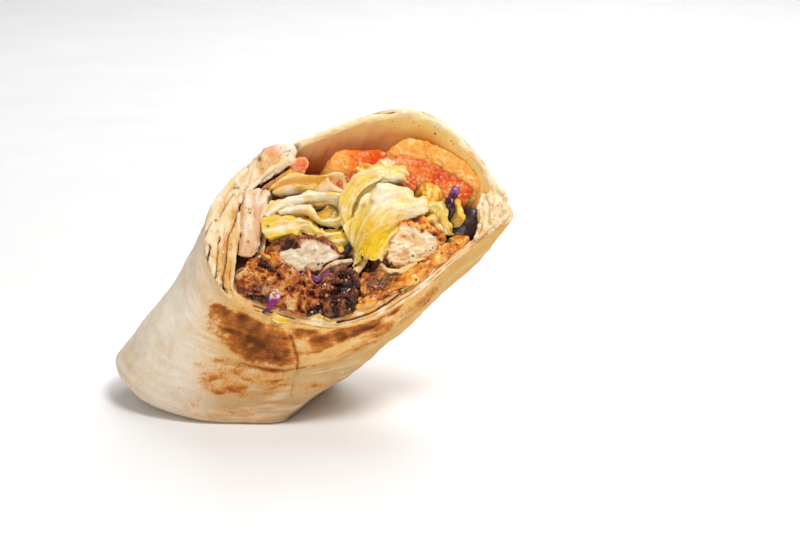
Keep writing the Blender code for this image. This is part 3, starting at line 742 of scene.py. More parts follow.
def photo_line(path, steps=8):
    """A smooth line over the cut face through places read off the photo."""
    return smooth_curve([seen(x, y) for x, y in path], steps, closed=False)


def gap_depth(flat, gaps):
    """How deep the gaps between layers are at flat points of the cut face."""
    deepest = np.zeros(flat.shape[:-1])
    for path, half_width, depth in gaps:
        away = distance_to(flat, photo_line(path))
        deepest = np.maximum(deepest, depth * eased(away, half_width + 0.3, half_width))
    return deepest


def even_directions(sides):
    """Directions round the rim at equal steps along it, so that its pointed tip keeps its point."""
    curve = smooth_curve(RIM, 60)
    even = resampled(np.concatenate([curve, curve[:1]]), sides + 1)[:-1]
    return np.sort(turn_and_distance(even)[0])


print(len(LAYER_GAPS), "gaps between layers on the cut edge")

# %% Rings up the wall and over the edge
turns = even_directions(SHELL_SIDES)
turn_degrees = np.degrees(turns)
wall_depths = np.concatenate([np.linspace(2, 1, 10)[:-1], np.linspace(1, 0, WALL_ROWS)])
wall_rings = wall(turns[None], wall_depths[:, None])

edge_shares = np.linspace(0, 1, EDGE_ROWS + 1)[1:, None]
rim_reach, pocket_reach = reach(RIM_TABLE, turns), reach(POCKET_TABLE, turns)
edge_reach = rim_reach * (1 - edge_shares) + pocket_reach * edge_shares
edge_places = columns(edge_reach * np.cos(turns), edge_reach * np.sin(turns))
from_rim = edge_shares * (rim_reach - pocket_reach)
layered = within_outline(edge_places, STACK_OUTLINE, 1.2) * eased(from_rim, 0.5, 1.2)
smooth_top = eased(edge_places[..., 1], 8, 20)
edge_flat = on_cut(edge_places[..., 0], edge_places[..., 1])
crumbly = (0.34 - 0.1 * smooth_top) * noise(edge_flat, 3.4, 3, 21)
crumbly += (0.45 - 0.3 * smooth_top) * (0.5 - cells(edge_flat, 1.3, 4)[0])
ragged = 0.22 * noise(edge_flat, 1.6, 2, 20) + 0.35 * np.sin(9 * turns)
ragged = ragged + 0.3 * np.sin(17 * turns + 1) + 0.6 * noise(edge_flat, 5, 2, 22)
edge_gaps = gap_depth(edge_places, LAYER_GAPS)
low_side = bell(turn_degrees, -62, 46)
layer = (0.9 * edge_shares + 0.05 * noise(edge_flat * (0.3, 1, 1), 3, 2, 24)) * LOW_LAYERS
layer_part = layer - np.floor(layer)
stepped = np.floor(layer) + eased(layer_part, 0.72, 1)
terrace_gap = eased(layer_part, 0.62, 0.78) * eased(layer_part, 1, 0.92)
edge_height = (ragged * (1 - 0.3 * edge_shares) + crumbly) * (1 - layered) - STACK_RECESS * layered
peeled = streaks_along(turn_degrees * 0.8 + 0 * edge_shares, from_rim, 1.6, 27, 3)
edge_height += (0.7 * np.sin(math.pi * edge_shares) ** 0.7 + 0.32 * peeled) * (1 - layered) - edge_gaps
edge_height -= low_side * (LAYER_STEP * stepped + 0.35 * terrace_gap) * (1 - layered)
edge_rings = spot(edge_places[..., 0], edge_places[..., 1], edge_height)
print("the cut edge is", np.round([from_rim[-1].min(), from_rim[-1].max()], 1), "mm wide")

# %% Rings of the lining
lining_depths = np.concatenate([np.linspace(0.012, LINING_TAPER_FROM, 20), [0.64, 0.68, LINING_DEPTH]])
lining_depths = lining_depths[:, None]
lining_reach = pocket_reach * (1 - 2.2 * np.maximum(0, lining_depths - LINING_TAPER_FROM))
lining_reach *= 1 - 0.1 * eased(-np.sin(turns), 0.1, 0.6) * eased(lining_depths, 0, 0.05)
lining_rings = spot(lining_reach * np.cos(turns), lining_reach * np.sin(turns),
                    -lining_depths * ROLL_LENGTH)
print("rings:", len(wall_rings), "up the wall,", EDGE_ROWS, "over the edge,", len(lining_rings), "inside")


# %% Make the shell
def over_shell(wall_values, edge_values, lining_values):
    """One value for each point of the shell, from values on its three zones."""
    rings = [np.broadcast_to(values, zone.shape[:2])
             for values, zone in zip((wall_values, edge_values, lining_values), shell_zones)]
    return with_ends(np.concatenate(rings).astype(float))


shell_zones = [wall_rings, edge_rings, lining_rings]
shell_points, shell_faces = sewn(np.concatenate(shell_zones))
shell = new_piece("tortilla_shell", shell_points, shell_faces, tortilla_finish)
on_skin, on_edge, on_lining = (over_shell(*zone) for zone in np.eye(3))
shell_depth = over_shell(wall_depths[:, None], 0, lining_depths)
shell_degrees = over_shell(turn_degrees, turn_degrees, turn_degrees)
print("the shell has", len(shell_points), "points")

# %% Dents, bubbles, the crack and the seam
shell_chart = chart_of(shell_degrees, shell_depth)
crack_near = distance_to(shell_chart + 0.4 * noise(shell_points, 2.5, 2, 31)[:, None],
                         smooth_curve([chart_of(*point) for point in CRACK], 8, closed=False))
seam_line = np.interp(shell_depth, [depth for _, depth in SEAM], [turn for turn, _ in SEAM])
seam_side = (shell_degrees - seam_line) * CHART[0] + 0.8 * noise(shell_points, 6, 2, 33)
seam_step = 0.9 * eased(seam_side, -0.5, 0.5) * (1 - eased(seam_side, 8, 34))
tuck_lines = np.abs(noise(shell_points * (1, 1, 0.55), 16, 2, 35))
tucks = eased(shell_depth, 0.72, 1.1) * eased(shell_degrees, -40, 0)
tucks = -1.1 * (1 - eased(tuck_lines, 0, 0.1)) * tucks
wrinkles = streaks_along(*shell_chart.T, 3.2, 36, 6)
low_right = bell(shell_degrees, -62, 20) * eased(shell_depth, 0.35, 0.6)
wall_relief = 0.28 * noise(shell_points, 13, 3, 11) + 0.1 * noise(shell_points, 3.6, 2, 12)
wall_relief += 0.3 * np.maximum(0, pitted(shell_points, 6.5, 14)) + seam_step + tucks
wall_relief += 0.1 * creases(*shell_chart.T, 2.8, 37, 5)
wall_relief -= 0.75 * (1 - eased(crack_near, 0.12, 0.6)) + 0.55 * low_right * np.maximum(0, wrinkles)
near_floor = eased(shell_points[:, 2], 0.2, 3)
lining_relief = 0.3 + 0.8 * noise(shell_points, 7, 3, 38) + 0.22 * creases(*shell_chart.T, 2.6, 39, 2)
lining_relief = np.maximum(0, lining_relief) * eased(np.sin(np.radians(shell_degrees)), -0.1, 0.3)
print("relief of the wall:", np.round([wall_relief.min(), wall_relief.max()], 1), "mm")
push_out(shell, on_skin * wall_relief * near_floor * eased(shell_depth, -0.01, 0.04)
         + on_lining * lining_relief * eased(shell_depth, 0.02, 0.1))

# %% Paint where the shell is toasted, with painted shade in its crack
rim_toast = eased(shell_depth, 0.04, 0) * (0.1 + 0.3 * noise(shell_points, 3, 2, 17))
rim_toast = rim_toast * (1 - eased(shell_points[:, 0], -20, -34))
along_top = bell(shell_degrees, 112, 26) * eased(shell_depth, 0.055, 0.012)
rim_toast = np.maximum(rim_toast, along_top * (0.26 + 0.4 * noise(shell_points, 3.2, 4, 16)))
toast_and_crack_shade = np.clip(np.maximum(toasting(shell_degrees, shell_depth, shell_points), rim_toast), 0, 1.2)
# Painted shade: the crack's groove is painted darker, and its lip less toasted; both go into the toasting
# value.
crack_shade = eased(noise(shell_points, 3, 3, 15), -0.5, 0.5) * (1 - eased(crack_near, 0.05, 0.35))
toast_and_crack_shade = toast_and_crack_shade * (1 - 0.3 * bell(crack_near, 0.8, 0.4)) + 0.26 * crack_shade
paint(shell, "toast_and_crack_shade", toast_and_crack_shade * on_skin)
print("share of the skin that is toasted:", round(float((toast_and_crack_shade * on_skin > 0.2).sum() / on_skin.sum()), 2))

# %% Colours of the skin
left_pale = eased(shell_points[:, 0], -38, -58)
# Painted shade: the wall is painted greyer towards the floor, where it turns down.
low_painted_shade = eased(shell_points[:, 2], 34, 4)
back_side = eased(np.sin(np.radians(shell_degrees)), -0.1, 0.6)
blistered = streaks_along(*shell_chart.T, 2.2, 18, 3)
skin = laid_over(
    mixed(shade(232, 186, 112), shade(242, 229, 210), left_pale),
    (shade(178, 150, 122), 0.75 * low_painted_shade * (1 - 0.6 * left_pale)),
    (shade(226, 192, 138), 0.5 * eased(noise(shell_points, 7, 3, 19), 0, 0.9)),
    (shade(240, 216, 174), 0.7 * back_side),
    (shade(206, 150, 84), 0.3 * eased(blistered, 0.1, 0.9) * (1 - 0.6 * left_pale)),
    (shade(250, 236, 214), 0.3 * eased(-blistered, 0.1, 0.9)))

# %% Colours of the cut edge
edge_low = over_shell(0, -edge_height, 0)
inner_layers = over_shell(0, low_side * eased(edge_shares, 0.35, 0.8), 0)
peeling = streaks_along(shell_degrees * 0.8, over_shell(0, from_rim, 0), 1.6, 27, 3)
# Painted shade: the crumb is painted darker where the edge sinks, in the gaps between layers
# and in the recess behind the stack. Painted light: it is paler near the top, like the backlit rim.
crumb = laid_over(
    mixed(shade(250, 226, 182), shade(228, 172, 104), eased(edge_low, -0.4, 0.6)),
    (shade(238, 192, 118), 0.55 * eased(shell_points[:, 2], 62, 46)),
    (shade(224, 146, 66), 0.6 * inner_layers),
    (shade(150, 84, 34), 0.8 * over_shell(0, low_side * terrace_gap, 0)),
    (shade(255, 232, 180), eased(shell_points[:, 2], 76, 86)),
    (shade(255, 246, 226), 0.7 * eased(peeling, 0.15, 0.7)),
    (shade(240, 172, 98), 0.55 * eased(-peeling, 0.15, 0.8)),
    (shade(124, 66, 28), over_shell(0, eased(edge_gaps, 0.1, 0.6), 0)),
    (shade(62, 30, 12), over_shell(0, layered + 0 * edge_gaps, 0)))

# %% Colours of the lining, and all of them painted
right = eased(shell_points[:, 0], -2, 24)
pale_patches = eased(noise(shell_points, 6, 3, 23), 0, 0.7) * (0.25 + 0.75 * right)
lit_near_rim = eased(shell_depth, 0.09 + 0.05 * noise(shell_points, 5, 2, 26), 0.01)
from_flap_shadow = np.linalg.norm(shell_points - on_cut(*seen(240, 262)), axis=-1)
# Painted light: the right of the lining is painted golden and the lip near the rim paler,
# as the back light shining through. Painted shadow: the lining is near black beside the flap.
lining = laid_over(
    mixed(shade(255, 194, 134), shade(255, 178, 76), right),
    (shade(255, 172, 104), 0.8 * eased(shell_depth, 0.04, 0.2) * (1 - right)),
    (shade(255, 216, 136), 0.4 * pale_patches),
    (shade(255, 218, 132), lit_near_rim * eased(shell_points[:, 0], -20, 2)),
    (shade(44, 22, 10), bell(from_flap_shadow, 0, 9)))
skin = np.where(on_edge[:, None] > 0.5, crumb, np.where(on_lining[:, None] > 0.5, lining, skin))
paint(shell, "tint", skin)
paint(shell, "wet", 0.35 * on_lining)
serve(shell, "tortilla", "tortilla")

# %% [markdown]
# ## Soft sheets
# A leaf, a flap of tortilla and a smear of sauce are all soft sheets. Each is drawn through a few
# guide lines, called rails. A rail is a line across the sheet, given by places read off the photo
# and the height there over the cut. The sheet is then crumpled, given its thickness and closed. A
# cloth simulation could crumple it too, but rails keep each fold where the photo shows it.

# %% A sheet through its rails
def rails_of(text):
    """Rails from rows of x, y and height: a comma parts two points, and a semicolon two rails.

    A point without a height has the height of the point before it.
    """
    rails = []
    for rail in text.split(";"):
        rails.append([])
        for point in rail.split(","):
            x, y, *height = (float(number) for number in point.split())
            rails[-1].append((x, y, *(height or rails[-1][-1][2:])))
    return rails


def rail_grid(rails, along, across):
    """A grid of (s, t, height) that follows every rail along and runs smoothly from rail to rail."""
    lines = []
    for rail in rails:
        rail = np.array([(*seen(x, y), height) for x, y, height in rail])
        lines.append(resampled(smooth_curve(rail, 14, closed=False), along))
    lines = np.array(lines)
    return np.array([resampled(smooth_curve(line, 10, closed=False), across)
                     for line in lines.swapaxes(0, 1)])


def sheet_normals(points):
    """The direction out of a sheet at each point of its grid, on the side that faces out of the cut."""
    normal = np.cross(np.gradient(points, axis=0), np.gradient(points, axis=1))
    normal /= np.maximum(np.linalg.norm(normal, axis=-1, keepdims=True), 1e-9)
    return normal * np.sign((normal @ OUT_OF_CUT).mean())


def measured(grid):
    """Distances in millimetres along and across a grid of points."""
    steps = [np.linalg.norm(np.diff(grid, axis=axis), axis=-1).sum(axis).mean() for axis in (0, 1)]
    places_along = (np.linspace(0, size, count) for size, count in zip(steps, grid.shape))
    return *np.meshgrid(*places_along, indexing="ij"), *steps


# %% A closed sheet
def sheet_form(rails, along, across, thickness, lift, ragged=0):
    """Points and faces of a closed sheet; lift works out how far each point is pushed outwards.

    Also, for each point: how far it is along and across the sheet, its lift, how far it is from an
    edge, its share of the width, and its place (s, t) over the cut.
    """
    grid = rail_grid(rails, along, across)
    flat = grid * (1, 1, 0)
    for axis in (0, 1):
        grid[..., axis] += ragged * noise(flat, 2.2, 3, 61 + axis)
    points = on_cut(grid[..., 0], grid[..., 1]) + OUT_OF_CUT * grid[..., 2:]
    u, v, length, width = measured(points)
    raised = lift(points, u, v, length, width)
    points = points + sheet_normals(points) * raised[..., None]
    to_edge = np.minimum(v, width - v)
    normal = sheet_normals(points)
    half = (0.5 * thickness * (0.4 + 0.6 * eased(to_edge, 0, 0.8)))[..., None]
    both_sides = np.concatenate([points + normal * half, (points - normal * half)[:, ::-1]], axis=1)
    form_points, form_faces = sewn(both_sides)
    values = columns(u, v, raised, to_edge, v / width, grid[..., 0], grid[..., 1])
    return form_points, form_faces, with_ends(np.concatenate([values, values[:, ::-1]], axis=1))


def joined(parts):
    """Points, faces and values of several closed forms as one."""
    offsets = np.cumsum([0] + [len(points) for points, _, _ in parts])
    points, faces, values = zip(*parts)
    faces = [[index + offset for index in face] for offset, own in zip(offsets, faces) for face in own]
    return np.concatenate(points), faces, np.concatenate(values)


def round_patch(flat, x, y, radius):
    """1 at a place of the photo, fading to 0 around it over a radius in millimetres."""
    return bell(np.linalg.norm(flat - seen(x, y), axis=-1), 0, radius)


def with_patches(tint, flat, stains):
    """Colours with round patches: stains, and painted shadows; each is (x, y, radius, colour, share)."""
    return laid_over(tint, *((colour, share * round_patch(flat, x, y, radius))
                             for x, y, radius, colour, share in stains))


# %% [markdown]
# ## The torn layers at the left of the cut
# The roll is five sheets thick there. The cut has smeared them into one soft, fluted face with thin
# slits between the sheets, painted dark as shade. Five loose sheets would cut through each other, so
# one sheet is carved with the slits. Left of the filling the innermost layer hangs as a flap, and
# above it the folded edge ends in a soft pale nose; both are sheets through rails.

# %% The fluted stack of layers
RIM_INSET = 0.25
PLACE = slice(5, 7)
STACK_TURNS = np.radians(np.linspace(157, 213, 14))
STACK_INNER, = rails_of("""
262 180 0, 252 190 0.3, 244 197 0.5, 241 210 0.6, 242 222, 241 235, 238 253 0.4, 236.5 264 0.2,
234.8 284 -0.2, 236 292 -0.3, 243 302 -0.4
""")
STACK_GAPS = [
    ([(232.5, 196), (224.5, 208.5), (220, 217.5)], 0.28, 4),
    ([(212, 224), (206, 237)], 0.24, 3),
    ([(210.7, 246), (209, 258), (208.4, 268)], 0.45, 2),
    ([(220.4, 238), (218.4, 252), (217.6, 265), (217, 288)], 0.24, 4),
    ([(239, 206), (237, 213), (235.5, 222), (232, 230), (228.5, 242), (227.3, 255), (225.6, 269),
      (224.5, 281), (225.8, 296)], 0.32, 5),
    ([(247, 186), (243.6, 196), (241, 210), (242.4, 222), (241, 236), (238.5, 254)], 0.22, 4),
    ([(204, 244), (206, 262), (209, 278), (214, 292)], 0.18, 2),
    ([(232, 262), (231, 276), (232, 290)], 0.18, 2.2),
]


def stack_lift(points, u, v, length, width):
    flutes = streaks_along(u, v, 1.7, 41, 7) + 2.2 * streaks_along(u, v, 3.6, 42, 8)
    flat = flat_on_cut(points)
    gaps = gap_depth(flat + 0.42 * noise(points, 2, 3, 43)[..., None], STACK_GAPS)
    shoulders = np.min([distance_to(flat, photo_line(path)) for path, _, _ in STACK_GAPS], axis=0)
    swell = 0.32 * eased(shoulders, 0.1, 0.8)
    pores = pitted(points, 1.1, 40, (1.2, 1, 0.6))
    return 0.26 * flutes + 0.35 * noise(points, 4, 3, 44) + 0.2 * pores + swell - gaps


stack_outer = [(CUT_PIXEL[0] + far * math.cos(turn) / PIXEL_ACROSS,
                CUT_PIXEL[1] - far * math.sin(turn) / PIXEL_UP, 0.3)
               for far, turn in zip(reach(RIM_TABLE, STACK_TURNS) - RIM_INSET, STACK_TURNS)]
stack_points, stack_faces, values = sheet_form([stack_outer, STACK_INNER], 250, 120, 1, stack_lift, 0.22)
stack = new_piece("tortilla_layers", stack_points, stack_faces, tortilla_finish)
u, v, raised, *_ = values.T
flat = values[:, PLACE]
tone = eased(raised + 0.3 * streaks_along(u, v, 1.4, 45, 9), -0.7, 0.7)
hairlines = eased(creases(u, v, 1.3, 48, 9), 0.7, 0.98)
hairlines = hairlines * eased(noise(stack_points, 3, 3, 49), -0.4, 0.3)
low_stains = eased(-flat[:, 1], 2, 18) * eased(noise(stack_points, 3, 3, 47), -0.2, 0.6)
flakes = eased(noise(stack_points * (1.4, 1, 0.8), 2.2, 3, 46), 0.15, 0.7)
# Painted shade: the layers are painted darker where they sink and near black down in the slits;
# painted light: they are paler on their crests.
stack_tint = laid_over(
    along_colours(shades((212, 150, 82), (234, 186, 118), (243, 211, 154), (250, 230, 194)), tone),
    (shade(200, 130, 62), 0.55 * hairlines),
    (shade(255, 246, 232), 0.75 * flakes * (0.35 + 0.65 * eased(v, 7, 0.5))),
    (shade(230, 176, 100), 0.45 * low_stains),
    (shade(150, 84, 30), eased(-raised, 0.3, 1)),
    (shade(86, 44, 16), eased(-raised, 1.2, 3.2)))
stack_tint = with_patches(stack_tint, flat, [
    (x, y, radius, shade(120, 56, 26), 0.9)
    for x, y, radius in ((234.5, 189, 0.45), (238, 188.5, 0.45), (249.5, 214, 0.3), (216.5, 221.5, 0.5))])
paint(stack, "tint", stack_tint)
serve(stack, "tortilla")

# %% Rails of the flap and the nose
FLAP = rails_of("""
244 189 -0.8, 242 198 0.2, 241 208 0.3, 241.6 219, 241.4 230, 240.4 242 0.2, 239.4 254 -0.4;
249 189.4 0.3, 247.6 199 0.9, 246.6 209 1.2, 246.8 220, 246.4 231 1.1, 245.4 243 0.9, 244.6 256 0.4;
255 190 0.6, 254.2 200 0.8, 253 210 0.9, 252.6 220, 251.8 231, 250.8 243 0.7, 250 257.6 0.4;
262 190.6 0.7, 260.6 201 0.8, 259 211 0.9, 257.8 221 0.8, 256.4 232 0.6, 255 243 0.4, 254 255.6 0;
268 191.4 0.2, 265.6 202 0, 263.4 212 -0.2, 261.6 222 -0.5, 259.6 232 -0.8, 257.6 243 -1,
256.2 252.6 -1.4;
270 192.6 -4.5, 267.4 203, 265.2 213, 263.2 222.6, 261.4 232.6, 259.6 243, 257.6 252
""")
NOSE = rails_of("""
240.5 179 -1, 247 166.5, 254 156.5, 261 149.8, 269 145.6, 277 142.6, 284 141.2, 290 142.6 -1.4,
294.3 149 -2;
242 181 0.8, 249.5 169.5 1, 257 160, 264 153.5 1.2, 271.5 149.8, 279.5 147.6 1.4, 285.5 147 1.8,
290.5 148.6, 294 153 0.4;
244 183 0.9, 252 173.5 1.2, 260 166 1.4, 268 160.5, 276 157.6 1.2, 283 156.5, 288 156 1.4,
291.5 156.6 1.2, 293.6 157.8 0;
246 185 0.9, 253.5 179.2 1.2, 262 175.6 1.3, 269 172, 276 167.6 1.1, 282.5 164.4 0.9, 287.5 162.6 0.8,
291.3 161.6 0.6, 293.2 161 -0.4;
247.5 188 -3, 255 183.5 -4, 263.5 180 -5, 271 175.4, 278 170.4, 284.5 166.6, 289 164.8, 292 163.4,
293.6 162.6
""")
FOLD_SPOT = shade(84, 40, 24)
FOLD_STAINS = {
    "tortilla_flap": [(249.6, 214.2, 0.35, FOLD_SPOT, 0.8), (248.5, 242.6, 0.4, FOLD_SPOT, 1),
                      (259, 240, 0.8, FOLD_SPOT, 0.5)],
    "tortilla_fold": [(287.5, 149.5, 2.4, shade(255, 244, 230), 1),
                      (271, 152, 2.2, shade(238, 140, 84), 0.75),
                      (259.5, 160.2, 0.8, FOLD_SPOT, 0.9), (266.5, 147, 0.4, FOLD_SPOT, 0.5)],
}
# The last colours of each row are painted shade, where the sheet turns down under itself.
PINK_FLAP = shades((222, 160, 92), (244, 212, 172), (240, 208, 178), (246, 216, 182), (228, 158, 96),
                   (150, 78, 34))
NOSE_TONES = shades((226, 172, 108), (248, 216, 164), (250, 214, 158), (254, 238, 208), (206, 118, 50))


def fold_pleats(points, u, v):
    """Soft pleats that wander along a fold."""
    return creases(u, v + 0.5 * noise(points, 4, 2, 54), 2.9, 51, 3.4)


def fold_lift(points, u, v, length, width):
    flutes = fold_pleats(points, u, v) + 0.6 * streaks_along(u, v, 1, 53, 4)
    pores = pitted(points, 0.8, 55, (1.2, 1, 0.7))
    return 0.36 * flutes + 0.42 * noise(points, 3.4, 3, 52) + 0.14 * pores


print("rails of the flap and of the nose:", len(FLAP), len(NOSE))

# %% Make the flap and the nose
for name, rails, tones in (("tortilla_flap", FLAP, PINK_FLAP), ("tortilla_fold", NOSE, NOSE_TONES)):
    fold_points, fold_faces, values = sheet_form(rails, 150, 110, 1, fold_lift, 0.5)
    fold = new_piece(name, fold_points, fold_faces, tortilla_finish)
    u, v, raised, _, share, *_ = values.T
    flat = values[:, PLACE]
    pleats = fold_pleats(fold_points, u, v)
    # Painted shade in the pleats' hollows and where the sheet sinks; painted light on the pleats' crests.
    tint = laid_over(
        along_colours(tones, share),
        (shade(216, 150, 84), 0.42 * eased(pleats, 0.1, -0.7) + 0.35 * eased(raised, 0, -0.5)),
        (shade(255, 244, 226), 0.6 * eased(pleats, 0.35, 0.95)))
    if name == "tortilla_flap":
        tint = mixed(tint, shade(224, 170, 116), 0.7 * eased(flat[:, 1], -3, -13))
    tint = with_patches(tint, flat, FOLD_STAINS[name])
    paint(fold, "tint", tint)
    serve(fold, "tortilla")

# %% [markdown]
# ## Thick pieces
# A dice of tomato or a strip of chicken fills its share of the cut and runs down into the roll. Its
# form starts as rings over the cut face, from its middle to its outline, that turn over a rounded
# edge and go down the sides. Two things are kept for each point: how far it is from the outline,
# and how far down the side. Crust, flesh and skin are placed by them.

# %% Rings of a thick piece
POCKET_MARGIN = 0.3


def kept_in_pocket(flat):
    """Moves flat points that lie outside the pocket back to its edge."""
    turn, distance = turn_and_distance(flat)
    limit = reach(POCKET_TABLE, turn) + POCKET_MARGIN
    return flat * np.minimum(1, limit / np.maximum(distance, 0.1))[..., None]


def tucked_in(thing, deepest=-1.8):
    """Pushes down what relief has carried out over the ledge round the pocket."""
    at = places(thing)
    turn, distance = turn_and_distance(flat_on_cut(at))
    over = distance - reach(POCKET_TABLE, turn)
    sink = eased(over, -0.5, 0.3) * np.maximum(0, over_cut(at) - deepest)
    move_to(thing, at - sink[:, None] * OUT_OF_CUT)


# %% A thick piece from its outline
def thick_rings(outline, centre, front, edge, slope=(0, 0), length=40, sides=150, cap=44, back=12,
                free=False):
    """Rings from the middle of the cut face out to the outline, over an edge and down the sides.

    front is how far below the cut the face lies, edge is the radius of its rounded edge.
    """
    centre = np.asarray(centre, float)
    angles = np.linspace(-math.pi, math.pi, sides, endpoint=False)
    distance = reach(polar_table(outline, centre), angles)
    rays = columns(np.cos(angles), np.sin(angles))
    shares = np.linspace(0, 1, cap + 1)[1:, None] ** 0.8
    from_edge = distance * (1 - shares)
    within = np.minimum(from_edge, edge)
    drop = edge - np.sqrt(edge ** 2 - (edge - within) ** 2)
    sink = np.linspace(0, 1, back + 1)[1:, None] ** 1.6
    narrow = (1 - sink ** 3) ** 0.5 + 0.02
    flat = centre + rays * (distance * np.concatenate([shares, narrow]))[..., None]
    flat = flat if free else kept_in_pocket(flat)
    down = np.concatenate([drop, np.broadcast_to(edge + (length - edge) * sink, (back, sides))])
    inwards = np.concatenate([from_edge, np.zeros((back, sides))])
    tilted = front + (flat - centre) @ np.array(slope)
    rings = spot(flat[..., 0], flat[..., 1], -(tilted + down))
    turning = np.broadcast_to(np.degrees(angles), inwards.shape)
    return rings, inwards, down, turning, flat


def thick_piece(name, material, outline, centre, front, edge, **sizes):
    """The piece, its points, and for each how far in and how far down it is, its side and its place."""
    rings, *values = thick_rings(outline, centre, front, edge, **sizes)
    points, faces = sewn(rings)
    thing = new_piece(name, points, faces, material)
    return thing, points, *(with_ends(value) for value in values)


def deep_shade(tint, left, down, start, end):
    """Colours that get darker down in the roll, until this share of their light is left."""
    return mixed(tint, left * tint, eased(down, start, end))


# %% The torn tip at the right
TIP = [(38.9, 3.1), (40.2, 6.6), (42.4, 7.8), (44.6, 8.4), (46.2, 8.8), (46.4, 6), (46, 3.4), (46.8, 0.6),
       (46.9, -1.4), (43.6, -4.2), (39.9, -6.3), (38.6, -2.3)]
tip, at, _, down, _, flat = thick_piece(
    "tortilla_tip", tortilla_finish, TIP, (42.6, 0.8), -0.4, 0.9, length=9, sides=170, cap=56, back=6,
    free=True)
ridges = streaks_along(flat[:, 1] - 0.25 * flat[:, 0], flat[:, 0] + 0.25 * flat[:, 1], 1.5, 71, 4)
rise = 0.34 * ridges + 0.34 * pitted(at, 1.3, 75, (1.2, 1, 0.5)) + 0.2 * pitted(at, 0.7, 76)
push_out(tip, rise * eased(down, 6, 0.5))
# Painted shade and light: the tip is darker in its hollows and down its sides, paler on its ridges.
tint = along_colours(shades((214, 138, 66), (244, 186, 112), (252, 220, 164), (255, 238, 206)),
                     eased(rise + 0.3 * noise(at, 2.6, 2, 78), -0.7, 0.45))
tint = mixed(tint, shade(190, 112, 54), eased(down, 1, 3.5))
paint(tip, "tint", tint)
serve(tip, "tortilla")

# %% Curled edges of torn sheet on the tip
CURLS = [
    [(483, 196), (480.4, 203), (480, 211), (480.6, 219), (478.6, 229), (474.4, 239)],
    [(497, 189), (503.6, 193), (505.4, 199), (503.6, 206), (505, 212), (500, 216)],
    [(488, 197), (491.4, 204), (490, 212), (492, 220)],
    [(508.6, 214.6), (500, 220.6), (491, 227), (482, 233.6), (474, 240)],
]


def curl_rails(path):
    """Three rails over a torn edge: up its inner side, along its crest and down behind it."""
    return [[(x - 1.1, y - 0.3, -1.6) for x, y in path], [(x, y, 1.7) for x, y in path],
            [(x + 1.5, y + 0.5, -1.4) for x, y in path]]


def curl_lift(points, u, v, length, width):
    return 0.45 * noise(points, 2.2, 3, 66) + 0.25 * streaks_along(v, u, 1, 67, 3)


points, faces, values = joined([sheet_form(curl_rails(path), 90, 24, 0.7, curl_lift, 0.35)
                                for path in CURLS])
torn = new_piece("tortilla_torn_edges", points, faces, tortilla_finish)
_, _, raised, _, share, *_ = values.T
# Painted light and shade: the curls are painted paler on their crests and darker down their sides.
paint(torn, "tint", along_colours(shades((206, 128, 58), (244, 196, 128), (255, 238, 206)),
                                  eased(raised, -0.5, 0.4) * 0.5 + 0.5 * np.sin(math.pi * share)))
serve(torn, "tortilla")

# %% [markdown]
# ## Chicken tenders
# A tender is a strip of white breast meat in a fried crumb crust. Where the knife went through, the
# meat shows pale and fibrous with the crust round it; where it didn't, only the craggy, saucy crust
# shows. The crust is built from cell noise, because crumbs are lumps pressed together, and it is
# painted from gold on the peaks to nearly black in the hollows: its own browning, with painted light
# on the peaks and painted shade in the hollows.

# %% Finishes for meat and crust
meat_finish = food_finish(
    "white_meat", [(0.7, 0.2, "noise", (3, 1, 1)), (0.35, 0.14)],
    [(1.4, 0.22, "noise", (3.5, 1, 1)), (0.45, 0.1), (0.2, 0.04)], (0.38, 0.6),
    glow=(0.25, 1.2, (1, 0.62, 0.42)), coat=0.1, specular=0.3)
crust_finish = food_finish(
    "fried_crust", [(0.5, 0.42), (1.3, 0.32)],
    [(1.2, 0.3, "cells"), (0.5, 0.18), (0.22, 0.08)], (0.2, 0.45),
    glow=(0.08, 0.6, (1, 0.45, 0.2)), coat=0.5, specular=0.25)

# %% The tenders' outlines and palettes
GOLD_CRUST = shades((52, 18, 8), (118, 50, 16), (190, 96, 30), (230, 142, 58), (250, 206, 140))
ORANGE_CRUST = shades((104, 42, 8), (188, 92, 20), (230, 136, 36), (248, 178, 72), (255, 222, 150))
DARK_CRUST = shades((48, 16, 8), (98, 42, 22), (140, 66, 36), (180, 106, 60), (226, 184, 138))
MEAT = shades((196, 152, 100), (228, 206, 172), (250, 240, 222))
PINK_MEAT = shades((220, 156, 92), (246, 212, 160), (255, 240, 214))

